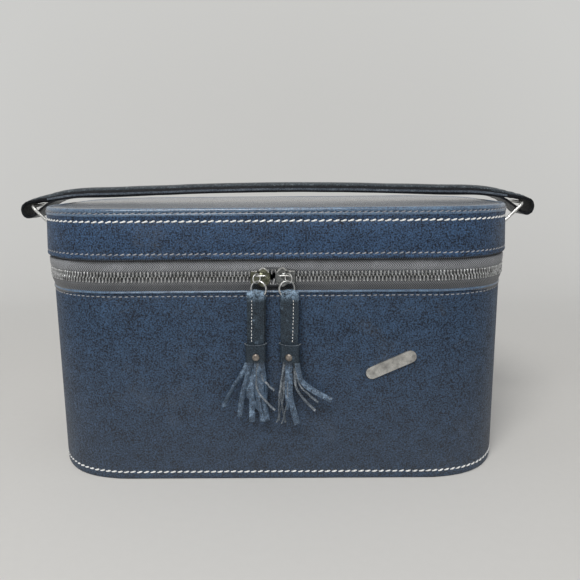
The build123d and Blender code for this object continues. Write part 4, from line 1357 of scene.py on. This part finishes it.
class Pull:
    """One pull: where its strap hangs, and how it leans and turns on its way down."""

    def __init__(self, side, sign):
        low, high = node_box(f"pull_strap_{side}")
        self.side, self.sign, self.body = side, sign, f"tassel_{side}"
        self.middle, self.half, self.top = (low + high) / 2, (high.x - low.x) / 2, high.z
        self.collar_low, self.collar_high = node_box(f"tassel_collar_{side}")
        self.collar_half = (self.collar_high - self.collar_low) / 2
        self.lean = {"left": -0.7, "right": -0.2}[side]
        self.forward = {"left": 0.0, "right": -0.9}[side]
        self.twist = {"left": math.radians(4), "right": math.radians(-17)}[side]
        self.stitch_x = {"left": -2.6, "right": 2.1}[side]
        self.strips = {"left": LEFT_STRIPS, "right": RIGHT_STRIPS}[side]
        front = ((-1.45, low.z), (-1.55, 103), (-1.65, 112), (-1.9, 121), (-2.35, 128.5), (-2.55, 132.2),
                 (-2.2, 134.6))
        back = ((-0.4, 135.35), (1.5, 134.4), (2.0, 131.8), (1.55, 128.5), (0.9, 121), (0.55, 112),
                (0.4, 103), (0.35, low.z))
        self.knots = [Vector((y, z, 0)) for y, z in front + back]

    def hang(self, point):
        """A point of the straight pull, moved to where the pull hangs."""
        fallen = smooth_step(self.top - point.z, 8.0, 38.0)
        turned_point = Matrix.Rotation(self.twist * fallen, 3, "Z") @ Vector((point.x, point.y, 0))
        shift = Vector((self.middle.x, self.middle.y, 0))
        return turned_point + shift + Vector((self.lean * fallen, self.forward * fallen, point.z))

    def strap_point(self, along, across):
        """A point of the strap, which goes up the front, over the ring and down the back."""
        y, z = spline_at(self.knots, along).xy
        side_way = (across - 0.5) * 2
        front = 1 - smooth_step(along, 0.42, 0.58)
        fold = math.exp(-((along - 0.5) / 0.07) ** 2)
        uneven = 0.25 * noise.noise(Vector((z * 0.09, side_way, 4 * front + self.sign)))
        wide = self.half * (1 - 0.15 * fold) + uneven
        crumple = 0.35 * fold * noise.noise(Vector((across * 5, along * 30, self.sign)))
        puff = 0.5 * fold * (1 - side_way**2) + crumple
        curl = 0.28 * side_way**2 * front
        back_shift = 0.9 * (1 - front) * -self.sign
        rounded = 1.1 * fold * side_way**4
        return self.hang(Vector((side_way * wide + back_shift, y + curl - puff * 0.5, z + puff - rounded)))

    def collar_point(self, along, across):
        """A point of the collar that is wrapped round the strap and the fringe's root."""
        angle = along * math.tau
        c, s = math.cos(angle), math.sin(angle)
        flare = 0.9 * across**3 + 0.5 * (1 - across) ** 3
        x = math.copysign(abs(c) ** 0.45, c) * (self.collar_half.x - 0.75 + flare)
        y = math.copysign(abs(s) ** 0.6, s) * (self.collar_half.y - 0.35 + 0.3 * flare)
        dip = 0.7 * (1 - (x / self.collar_half.x) ** 2) * across
        crease = 0.14 * noise.noise(Vector((x * 0.7, across * 4, self.sign * 3 + y)))
        tall = self.collar_high.z - self.collar_low.z
        return self.hang(Vector((x, y - 0.55 + crease, self.collar_low.z + tall * across - dip)))

    def add_strap(self):
        """The folded strap."""
        mesh = thicken(strip_mesh(12, 110, self.strap_point), 1.15)
        piece(mesh, f"pull_leather_{self.side}", tassel_leather(), self.body, (f"pull_strap_{self.side}",),
              "tassel_leather", 50)

    def add_stitches(self):
        """The line of stitches down the strap's front."""
        number, first, pitch = 13, 129.3, 2.25
        dice = random.Random(self.side)
        places = []
        for index in range(number):
            height = first - index * pitch
            share = next(k / 400 for k in range(400) if spline_at(self.knots, k / 400)[1] >= height)
            spot = self.strap_point(share, 0.5 + self.stitch_x / self.half / 2)
            places.append(Matrix.Translation(spot + Vector((dice.uniform(-0.12, 0.12), -0.62, 0)))
                          @ Matrix.Rotation(math.pi / 2, 4, "Y") @ FORWARD)
        mesh = add_copies(bmesh.new(), one_stitch(1.55, 0.46), places)
        piece(mesh, f"pull_stitches_{self.side}", thick_thread(), self.body, slot="white_thread")

    def add_collar(self):
        """The wrapped collar, with its pale cut rim."""
        mesh = thicken(close_mesh(strip_mesh(12, 96, self.collar_point)), 0.9)
        for face in mesh.faces:
            face.material_index = int(face.normal.z > 0.6)
        piece(mesh, f"tassel_wrap_{self.side}", (tassel_leather(), cut_edge()), self.body,
              (f"tassel_collar_{self.side}",), "tassel_leather", 50)

    def add_stud(self):
        """The domed stud on the collar's front."""
        dome = turned([(0, 1.25), (0.8, 1.2), (1.6, 0.95), (2.2, 0.5), (2.5, 0.1), (2.55, -0.25),
                       (2.3, -0.45), (0, -0.5)])
        height = centre_of(f"tassel_stud_{self.side}").z
        seat = self.hang(Vector((0.0, -self.collar_half.y - 0.75, height)))
        around = Matrix.Rotation(self.twist, 4, "Z")
        bmesh.ops.transform(dome, matrix=Matrix.Translation(seat) @ around @ FORWARD, verts=dome.verts)
        piece(dome, f"tassel_cap_{self.side}", antique_brass(), self.body, (f"tassel_stud_{self.side}",),
              "brass")

    def add_fringe(self):
        """The cut fringe, in four layers from back to front."""
        mesh = bmesh.new()
        for index, look in enumerate(self.strips):
            layer = -2.2 + 3.6 * (index % 4) / 3
            strip = fringe_strip(self.middle.x + self.lean, self.middle.y - 0.6 + layer * 0.5,
                                 self.collar_low.z + 1.0, look, index + 40 * (self.sign > 0))
            # Painted highlight: the thin strips, turned edge-on, take the pale edge colour over their whole
            # surface
            for face in strip.faces:
                face.material_index = int(look[4] < 2.0)
            add_copies(mesh, strip, [Matrix.Identity(4)])
        piece(mesh, f"tassel_strips_{self.side}", (fringe_leather(), cut_edge()), self.body,
              (f"tassel_fringe_{self.side}",), "tassel_leather", 50)


class TRAINCASE_OT_tassels(bpy.types.Operator):
    """On each pull a folded, stitched leather strap, a wrapped collar with a domed stud and a cut fringe"""

    bl_idname = "traincase.tassels"
    bl_label = "Pull straps and tassels"

    def execute(self, context):
        for side, sign in PULL_SIDES:
            pull = Pull(side, sign)
            pull.add_strap()
            pull.add_stitches()
            pull.add_collar()
            pull.add_stud()
            pull.add_fringe()
        return {"FINISHED"}


RING_WIRE = 1.2
RING_BAR = node_box("handle_ring_right")[1] - Vector((RING_WIRE, 0, RING_WIRE))
TAB_BAR = node_box("handle_ring_right")[0] + Vector((RING_WIRE, 0, RING_WIRE))
STRAP_HALF = node_box("handle_lower_layer")[1].y
STRAP_UNDER = node_box("handle_lower_layer")[0].z
STRAP_TOP = node_box("handle_upper_layer")[1].z
GRIP_HALF = node_box("handle_padding")[1].x
STRAP_ARCH = 2600.0


def strap_underside(x):
    """Height of the strap's underside on its long arch."""
    return STRAP_UNDER + (GRIP_HALF**2 - x**2) / (2 * STRAP_ARCH)


class TRAINCASE_OT_handle(bpy.types.Operator):
    """The carrying strap: each half is one strip that runs out, round the ring's bar and back over padding"""

    bl_idname = "traincase.handle"
    bl_label = "Carrying strap"

    def execute(self, context):
        look = context.scene.train_case_handle
        skin, crown = look.leather / MM, STRAP_TOP - strap_underside(0) - 2 * look.leather / MM
        under = [(0, 0.75), (30, 0.75), (60, 0.75), (88, 0.75), (108, 0.75), (130, 0.95)]
        over = [(130, 2.95, 1.0), (108, 2.45, 1.0), (88, 2.25, 1.0), (60, 2.25, 1.0), (30, 2.25, 1.0),
                (0, 2.25, 1.0)]
        loop = [(-39, 6.7, 0), (-27, 5.8, 0), (-18.8, 4.6, 0), (-11.8, 1.8, 0), (-4.8, -3.3, 0),
                (0.8, -7.7, 0), (5.2, -8.9, 0), (8.3, -6.2, 0), (8.7, -1.6, 0), (6.0, 2.0, 0.2),
                (0, 3.3, 0.5), (-11.5, 5.1, 0.8), (-24.5, 7.2, 0.95), (-39.5, 8.4, 1.0)]
        knots = [Vector((x, strap_underside(x) + up, 0)) for x, up in under]
        knots += [Vector((RING_BAR.x + dx, RING_BAR.z + dz, share)) for dx, dz, share in loop]
        knots += [Vector((x, strap_underside(x) + up, share)) for x, up, share in over]
        flat_half = STRAP_HALF - 3.1

        for side, sign in PULL_SIDES:

            def place(along, across, sign=sign):
                x, z, share = spline_at(knots, along)
                y = (across - 0.5) * 2 * STRAP_HALF
                bulge = max(0.0, 1 - (abs(y) / flat_half) ** 2) ** 0.5
                near_loop = math.exp(-(((x - RING_BAR.x) / 16) ** 2))
                wrinkle = noise.noise(Vector((along * 95, y * 0.05, sign * 9))) * 0.55 * near_loop
                drift = noise.noise(Vector((x * 0.05, y * 0.1, along * 3))) * 0.15
                droop = -0.9 * share * math.exp(-(((abs(y) - flat_half) / 0.9) ** 2))
                z += crown * share * bulge + wrinkle + drift + droop
                return Vector((sign * x, y * (1 - 0.03 * near_loop), z))

            mesh = thicken(strip_mesh(50, 250, place), skin)
            # Painted light: the upper run's cut edges take the paler edge finish as a painted highlight; the
            # lower run's edges, the edges out at the ends, the margins beside the crown and the inside of the
            # loop take the near-black finish as painted shade
            for face in mesh.faces:
                spot = face.calc_center_median()
                from_bar = Vector((abs(spot.x) - RING_BAR.x, 0, spot.z - RING_BAR.z + 1.5))
                outward = Vector((sign * from_bar.x, 0, from_bar.z)).dot(face.normal) > 0
                away = abs(spot.x)
                between = 1.6 + smooth_step(away, 118, 148) * (1 - 0.6 * smooth_step(away, 150, 172))
                if abs(spot.y) > STRAP_HALF - 1.2 and abs(face.normal.y) > 0.85:
                    face.material_index = 1 if away < 178 and spot.z > strap_underside(away) + between else 2
                elif abs(spot.y) > flat_half - 0.6 or from_bar.x > -16 and not outward:
                    face.material_index = 2
            nodes = ["handle_upper_layer", "handle_lower_layer"] if sign > 0 else []
            half = piece(mesh, f"strap_half_{side}", (handle_leather(), strap_edge(), strap_inside()), None,
                         (*nodes, f"handle_end_{side}"), "leatherette", 50)
            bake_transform(half)

        def filling(along, across):
            x = (along * 2 - 1) * 0.96 * (GRIP_HALF - 13)
            angle = across * math.tau
            y = (flat_half - 0.5) * math.cos(angle)
            rise = (crown - 1.1) * max(0.0, math.sin(angle)) ** 0.8 + 0.5 * min(0.0, math.sin(angle))
            return Vector((x, y, strap_underside(x) + 2.6 + rise))

        mesh = close_ends(strip_mesh(32, 60, filling))
        pad = piece(mesh, "strap_filling", Finishes.get(felt, "strap_felt"), "handle_grip",
                    ("handle_padding",), "padding")
        return {"FINISHED"}


class TRAINCASE_OT_rings_and_tabs(bpy.types.Operator):
    """Rectangular wire rings between the strap and the lid, their folded tabs and the tabs' rivets"""

    bl_idname = "traincase.rings_and_tabs"
    bl_label = "Strap rings and tabs"

    def execute(self, context):
        reach = (RING_BAR - TAB_BAR) * 0.5
        reach.y = 0
        middle = Vector(((RING_BAR.x + TAB_BAR.x) / 2, 0, (RING_BAR.z + TAB_BAR.z) / 2))
        wide = node_box("handle_ring_right")[1].y - RING_WIRE
        around, wire_outline = small_outline(wide, reach.length, 4.0)
        tab_half = node_box("handle_tab_right")[1].y
        foot = node_box("handle_tab_right")[0].z
        side_x = HALF_WIDTH + 0.95
        bar = TAB_BAR
        tab_path = [Vector((x, z, 0)) for x, z in
                    ((side_x, foot + 0.3), (side_x, foot + 3), (side_x, foot + 6),
                     (side_x + 0.35, bar.z - 0.4), (bar.x - 2.4, bar.z + 1.2), (bar.x - 0.6, bar.z + 2.35),
                     (bar.x + 1.5, bar.z + 1.6), (bar.x + 2.1, bar.z - 0.6), (bar.x + 0.6, bar.z - 2.6),
                     (bar.x - 1.9, bar.z - 4.2), (side_x + 1.35, foot + 4.2), (side_x + 1.25, foot + 2),
                     (side_x + 1.25, foot + 0.3))]
        for side, sign in PULL_SIDES:

            def ring(share, sign=sign):
                point = wire_outline(share * around)[0]
                out = reach.normalized()
                return Vector((sign * (middle.x + out.x * point.y), point.x, middle.z + out.z * point.y))

            normal = Vector((sign * reach.z, 0, -reach.x)).normalized()
            mesh = wire(ring, 160, RING_WIRE, 16, closed=True, across_of=normal)
            piece(mesh, f"strap_ring_{side}", nickel_plate(), f"handle_ring_{side}", (f"handle_ring_{side}",),
                  "nickel")

            def tab(along, across, sign=sign):
                x, z = spline_at(tab_path, along).xy
                pull = 0.25 * math.sin(math.pi * along)
                y = (across - 0.5) * 2 * (tab_half - 0.1 - pull)
                return Vector((sign * x, y, z + 0.08 * noise.noise(Vector((y * 0.5, along * 9, sign)))))

            mesh = thicken(strip_mesh(22, 80, tab), 1.15)
            piece(mesh, f"ring_tab_{side}", handle_leather(), "lid", (f"handle_tab_{side}",),
                  "leatherette", 50)

        heads = bmesh.new()
        rivet_z = middle_of("tab_rivets")
        for sign in (-1, 1):
            for across in (-6, 6):
                head = turned([(0, 1.0), (0.7, 0.95), (1.35, 0.7), (1.8, 0.3), (1.95, -0.05), (1.8, -0.25),
                               (0, -0.3)], 20)
                outwards = Matrix.Rotation(sign * math.pi / 2, 4, "Y")
                seat = Matrix.Translation((sign * (side_x + 2.0), across, rivet_z)) @ outwards
                add_copies(heads, head, [seat])
        piece(heads, "tab_rivet_heads", nickel_plate(), "lid", ("tab_rivets",), "nickel")
        return {"FINISHED"}


class TRAINCASE_OT_badge(bpy.types.Operator):
    """A plain blank metal plate with a raised rim round its field"""

    bl_idname = "traincase.badge"
    bl_label = "Badge plate"

    def execute(self, context):
        middle = centre_of("badge_plate")
        front = node_box("badge_plate")[0].y
        half_width, half_height, corner, steps = 18, 4.25, 4.1, 72
        around, plate_outline = small_outline(half_width, half_height, corner)
        edge = [plate_outline(k / steps * around)[0] for k in range(steps)]
        mesh = plate([(point.x, point.y) for point in edge], 1.5, bevel=0)
        face = min(mesh.faces, key=lambda f: f.calc_center_median().y)
        bmesh.ops.inset_region(mesh, faces=[face], thickness=0.7, depth=0)
        bmesh.ops.translate(mesh, vec=(0, 0.35, 0), verts=list(face.verts))
        soften(mesh, 0.15, 2, 35)
        tilt = Matrix.Rotation(math.radians(-24), 4, "Y")
        bmesh.ops.transform(mesh, matrix=Matrix.Translation((middle.x, front, middle.z)) @ tilt,
                            verts=mesh.verts)
        piece(mesh, "blank_badge", badge_metal(), "case_body", ("badge_plate",), "nickel")
        return {"FINISHED"}


class TRAINCASE_OT_hinge(bpy.types.Operator):
    """The live hinge: one strip of leatherette tucked under both covers, creased along its bending line"""

    bl_idname = "traincase.hinge"
    bl_label = "Live hinge"

    def execute(self, context):
        low, high = node_box("hinge_panel_lower")[0].z, node_box("hinge_panel_upper")[1].z
        back = node_box("hinge_panel_upper")[1].y
        half = HINGE_HALF + 0.5

        def place(along, across):
            x = (along * 2 - 1) * half
            z = low + (high - low) * across
            from_bend = z - PARTING_Z
            swell = 0.95 * math.exp(-((from_bend / 5.5) ** 2)) - 0.5 * math.exp(-((from_bend / 0.9) ** 2))
            slack = 0.22 * noise.noise(Vector((x * 0.06, z * 0.1, 8))) * math.exp(-((from_bend / 9) ** 2))
            return Vector((x, back - 0.75 + swell + slack, z))

        mesh = thicken(strip_mesh(72, 120, place), 1.2)
        strip = piece(mesh, "hinge_strip", cover_leatherette(), None,
                      ("hinge_panel_lower", "hinge_panel_upper"), "leatherette", 50)
        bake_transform(strip)
        return {"FINISHED"}


class TRAINCASE_OT_linings(bpy.types.Operator):
    """Woven linings of the walls, the base and the lid, turned over the body's rim"""

    bl_idname = "traincase.linings"
    bl_label = "Linings"

    def execute(self, context):
        cloth = lining_cloth()

        def slack(size, seed):
            return lambda distance, inset, height: (inset + wavy(distance, height, size, seed), height)

        # Depths from the lining's face, 157 mm from the middle, and heights up and over the board
        body_in = HALF_WIDTH - 157.0
        face = [(-0.9, 5.0), (-0.05, 5.0), (0, 9), (0, 30), (0, 60), (0, 90), (0, 120), (-0.1, 131),
                (-0.35, 133.6)]
        turned_over = [(-1.2, 134.55), (-2.2, 134.7), (-3.1, 134.3), (-3.2, 133.75), (-1.0, 133.7),
                       (-0.95, 131)]
        rows = [(body_in + deep, height) for deep, height in face + turned_over]
        mesh = band(rows + [rows[0]], 480, shape=slack(0.3, 4.4))
        wall = piece(mesh, "body_lining_cloth", cloth, "case_body", ("body_wall_lining",), "lining", 50)

        low, high = node_box("lid_wall_lining")
        lid_in = HALF_WIDTH - high.x + 1.6
        rows = [(lid_in - 1.4, low.z), (lid_in - 0.2, low.z - 0.05), (lid_in, low.z + 0.8), (lid_in, 164),
                (lid_in, 172), (lid_in, 180), (lid_in, high.z - 0.1), (lid_in - 0.9, high.z - 0.1),
                (lid_in - 0.9, 172), (lid_in - 1.4, 160)]
        mesh = band(rows + [rows[0]], 480, shape=slack(0.25, 6.1))
        wall = piece(mesh, "lid_lining_cloth", cloth, "lid", ("lid_wall_lining",), "lining", 50)

        for name, node, body, flat in (("base_lining_cloth", "base_lining", "case_body", (0.314, 0.174)),
                                       ("lid_top_lining_cloth", "lid_top_lining", "lid", (0.322, 0.182))):
            low, high = node_box(node)
            inset = HALF_WIDTH - high.x
            mesh = band([(inset + deep, 0) for deep in (0, 4, 12, 22, 34, 42)], 240)
            fill_middle(mesh)
            for vert in mesh.verts:
                vert.co.z = 0.12 * noise.noise(Vector((vert.co.x * 0.02, vert.co.y * 0.02, inset)))
            mesh = thicken(mesh, (high.z - low.z) - 0.3)
            bmesh.ops.translate(mesh, vec=(0, 0, (low.z + high.z) / 2), verts=mesh.verts)
            sheet = piece(mesh, name, cloth, body, (node,), "lining", 50)
        return {"FINISHED"}


class TRAINCASE_OT_pocket(bpy.types.Operator):
    """Elastic pocket on the back wall: gathered cloth with a frilled, cased top edge"""

    bl_idname = "traincase.pocket"
    bl_label = "Elastic pocket"

    def execute(self, context):
        low, high = node_box("inner_pocket")
        corner = 5.0
        sides = high.y - low.y - corner
        front = high.x - corner - 0.6
        length = 2 * (sides + front) + math.pi * corner

        def route(distance):
            """Point and outward direction on the pocket's U-shaped plan, which is the same on both sides."""
            left = min(distance, length - distance)
            mirror = Matrix.Diagonal((1 if distance <= length / 2 else -1, 1, 1))
            angle = (left - sides) / corner
            if left < sides:
                point, out = Vector((-front - corner, high.y - left, 0)), Vector((-1, 0, 0))
            elif angle < math.pi / 2:
                out = Vector((-math.cos(angle), -math.sin(angle), 0))
                point = Vector((-front, high.y - sides, 0)) + out * corner
            else:
                point = Vector(((angle - math.pi / 2) * corner - front, low.y + 0.75, 0))
                out = Vector((0, -1, 0))
            return mirror @ point, mirror @ out

        def place(along, across):
            distance = along * length
            point, out = route(distance)
            z = low.z + 0.2 + (high.z - low.z - 0.4) * across
            gather = 0.12 + 0.5 * smooth_step(across, 0.35, 0.93)
            ends = smooth_step(distance, 1.0, 9.0) * smooth_step(length - distance, 1.0, 9.0)
            pleat = math.sin(distance * math.tau / 5.2 + 0.8 * noise.noise(Vector((distance * 0.05, 0, 2))))
            casing = 0.35 * math.exp(-(((across - 0.93) / 0.02) ** 2))
            return point + out * (gather * pleat - casing) * ends + Vector((0, 0, z))

        mesh = thicken(strip_mesh(54, 460, place), 0.8)
        cloth = piece(mesh, "pocket_cloth", pocket_lining(), "case_body", ("inner_pocket",), "lining", 60)
        return {"FINISHED"}


class TRAINCASE_OT_mirror(bpy.types.Operator):
    """Mirror in the lid: bevelled glass in a sewn, rolled border"""

    bl_idname = "traincase.mirror"
    bl_label = "Lid mirror"

    def execute(self, context):
        low, high = node_box("mirror_glass")
        around, glass_edge = small_outline(high.x, high.y, 20.0)
        rows = [(2.2, low.z), (0.2, low.z + 0.5), (0.0, low.z + 0.8), (0.0, high.z), (2.2, high.z)]
        mesh = band(rows, 240, length=around, outline=glass_edge)
        for height in (low.z, high.z):
            rim = [e for e in mesh.edges if e.is_boundary
                   and all(abs(v.co.z - height) < 0.01 for v in e.verts)]
            bmesh.ops.edgeloop_fill(mesh, edges=rim)
        close_mesh(mesh)
        piece(mesh, "mirror_pane", Finishes.get(silvered_glass, "silvered_glass"), "lid", ("mirror_glass",),
              "mirror", 20)

        low, high = node_box("mirror_border")
        around, border_edge = small_outline(high.x, high.y, 26.0)
        under, top = low.z, high.z
        face = [(0.5, 0.5), (2.2, 0.1), (3.3, 0.35), (3.6, 0.5), (3.9, 0.35), (5.5, 0), (8.0, 0.05),
                (9.6, 0.3), (10.0, 0.65), (9.6, 0.7), (7.0, 0.75)]
        rows = [(0.2, top), (0.0, top - 0.6), *((inset, under + up) for inset, up in face), (7.0, top)]

        def uneven(distance, inset, height):
            bump = 0.08 * noise.noise(Vector((distance * 0.12, inset * 0.2, 1)))
            return inset, height + bump * (height < top - 0.1)

        mesh = band(rows + [rows[0]], 300, length=around, outline=border_edge, shape=uneven)
        piece(mesh, "mirror_frame", cover_leatherette(), "lid", ("mirror_border",), "leatherette", 50)

        number = round(around / 3.4)
        places = []
        for index in range(number):
            point, out = border_edge(index / number * around)
            seat = point - out * 3.6 + upwards(under + 0.32)
            places.append(placed(seat, run_along(out), out, upwards(1)))
        mesh = add_copies(bmesh.new(), one_stitch(2.6, 0.5), places)
        bmesh.ops.recalc_face_normals(mesh, faces=mesh.faces)
        piece(mesh, "mirror_stitches", fine_thread(), "lid", slot="tonal_thread")
        return {"FINISHED"}


# Stage


def add_lamp(name, place, size, power, colour=(1, 1, 1)):
    """A large soft lamp that faces the object."""
    data = bpy.data.lights.new(name, "AREA")
    data.shape, data.size, data.energy, data.color = "DISK", size, power, colour
    lamp = bpy.data.objects.new(name, data)
    bpy.context.scene.collection.objects.link(lamp)
    lamp.location = place
    lamp.rotation_mode = "QUATERNION"
    lamp.rotation_quaternion = (Vector((0, 0, 0.1)) - Vector(place)).to_track_quat("-Z", "Y")


def seen_only(tree):
    """1 for rays that the camera or a mirror-like surface sees, 0 for light."""
    rays = add_node(tree, "LightPath").outputs
    shiny = math_node(tree, "MAXIMUM", rays["Is Glossy Ray"], rays["Is Transmission Ray"])
    return math_node(tree, "MAXIMUM", rays["Is Camera Ray"], shiny)


def floor_finish(colour, far_colour):
    """Pale floor whose far parts are seen in the backdrop's own colour, so that no horizon shows."""
    material, tree, shader, place = start_material("stage_floor", roughness=0.7, Emission_Strength=1.0,
                                                   Specular_IOR_Level=0.0)
    speck = add_node(tree, "TexNoise", Vector=place, Scale=160.0, Detail=3.0)
    tint = tuple(value * 0.97 for value in colour)
    away = add_node(tree, "VectorMath", operation="LENGTH", i0=place).outputs["Value"]
    far = math_node(tree, "MULTIPLY", spread(tree, away, 0.35, 1.1), seen_only(tree))
    near_colour = mix_colour(tree, speck.outputs[0], tint, colour)
    tree.links.new(mix_colour(tree, far, near_colour, (0, 0, 0)), shader["Base Color"])
    tree.links.new(mix_colour(tree, far, (0, 0, 0), far_colour), shader["Emission Color"])
    return material


def sky_finish(sky, strength, far_colour):
    """Soft light from all round, seen in the backdrop's colour."""
    world = bpy.data.worlds.new("stage_sky")
    world.use_nodes = True
    tree = world.node_tree
    background = tree.nodes["Background"].inputs
    seen = seen_only(tree)
    tree.links.new(mix_colour(tree, seen, sky, far_colour), background[0])
    tree.links.new(spread(tree, seen, 0.0, 1.0, strength, 1.0), background[1])
    return world


class TRAINCASE_OT_stage(bpy.types.Operator):
    """Pale floor and backdrop, soft lamps and the camera at the photograph's viewing angle"""

    bl_idname = "traincase.stage"
    bl_label = "Stage"

    def execute(self, context):
        look = context.scene.train_case_stage
        mesh = bmesh.new()
        bmesh.ops.create_grid(mesh, x_segments=1, y_segments=1, size=3.0,
                              matrix=Matrix.Translation((0, -2.2, 0)))
        back = [e for e in mesh.edges if all(v.co.y > 0.5 for v in e.verts)]
        made = bmesh.ops.extrude_edge_only(mesh, edges=back)["geom"]
        bmesh.ops.translate(mesh, vec=(0, 0, 3.0),
                            verts=[v for v in made if isinstance(v, bmesh.types.BMVert)])
        bmesh.ops.bevel(mesh, geom=back, offset=0.35, segments=16, profile=0.5, affect="EDGES", material=-1)
        bmesh.ops.recalc_face_normals(mesh, faces=mesh.faces)
        bmesh.ops.scale(mesh, vec=(1 / MM,) * 3, verts=mesh.verts)
        floor = piece(mesh, "stage_floor", floor_finish(tuple(look.floor), tuple(look.backdrop)))

        scene = context.scene
        scene.world = sky_finish((0.93, 0.96, 1.0), look.sky, tuple(look.backdrop))
        add_lamp("key_lamp", (-0.25, -1.0, 1.45), 0.8, look.key, (1.0, 0.985, 0.96))
        add_lamp("left_lamp", (-1.4, -0.5, 0.7), 0.9, look.fill, (0.92, 0.96, 1.0))
        add_lamp("right_lamp", (1.4, -0.6, 0.8), 0.9, look.fill, (0.92, 0.96, 1.0))

        data = bpy.data.cameras.new("photo_camera")
        data.sensor_width, data.lens = 36.0, look.lens
        data.clip_start, data.clip_end = 0.01, 20.0
        camera = bpy.data.objects.new("photo_camera", data)
        scene.collection.objects.link(camera)
        camera.matrix_world = (
            Matrix.Translation(look.place) @ Matrix.Rotation(look.yaw, 4, "Z")
            @ Matrix.Rotation(math.pi / 2 - look.down, 4, "X") @ Matrix.Rotation(look.roll, 4, "Z"))
        scene.camera = camera
        scene.view_settings.view_transform = "Standard"
        return {"FINISHED"}


class TRAINCASE_PT_panel(bpy.types.Panel):
    """Lists the sizes, the colours and the pieces"""

    bl_label = "Train Case"
    bl_idname = "TRAINCASE_PT_panel"
    bl_space_type = "VIEW_3D"
    bl_region_type = "UI"
    bl_category = "Train Case"

    def draw(self, context):
        for name, group in SETTINGS.items():
            box = self.layout.box()
            for label in group.__annotations__:
                box.prop(getattr(context.scene, name), label)
        for step in STEPS:
            self.layout.operator(step.bl_idname)


SETTINGS = {
    "train_case_leatherette": LeatheretteSettings,
    "train_case_thread": ThreadSettings,
    "train_case_zip": ZipSettings,
    "train_case_handle": HandleSettings,
    "train_case_stage": StageSettings,
}
STEPS = (
    TRAINCASE_OT_stage,
    TRAINCASE_OT_frame_finishes,
    TRAINCASE_OT_body_cover,
    TRAINCASE_OT_lid_cover,
    TRAINCASE_OT_stitching,
    TRAINCASE_OT_zip,
    TRAINCASE_OT_sliders,
    TRAINCASE_OT_pull_rings,
    TRAINCASE_OT_tassels,
    TRAINCASE_OT_handle,
    TRAINCASE_OT_rings_and_tabs,
    TRAINCASE_OT_badge,
    TRAINCASE_OT_hinge,
    TRAINCASE_OT_linings,
    TRAINCASE_OT_pocket,
    TRAINCASE_OT_mirror,
)


def register():
    """Register the settings, the operators and the panel."""
    for name, group in SETTINGS.items():
        bpy.utils.register_class(group)
        setattr(bpy.types.Scene, name, bpy.props.PointerProperty(type=group))
    for step in (*STEPS, TRAINCASE_PT_panel):
        bpy.utils.register_class(step)


def unregister():
    """Take the panel, the operators and the settings away again."""
    for step in (TRAINCASE_PT_panel, *reversed(STEPS)):
        bpy.utils.unregister_class(step)
    for name, group in SETTINGS.items():
        delattr(bpy.types.Scene, name)
        bpy.utils.unregister_class(group)


def main():
    """Build everything in order."""
    register()
    for step in STEPS:
        area, name = step.bl_idname.split(".")
        getattr(getattr(bpy.ops, area), name)()


if __name__ == "__main__":
    main()
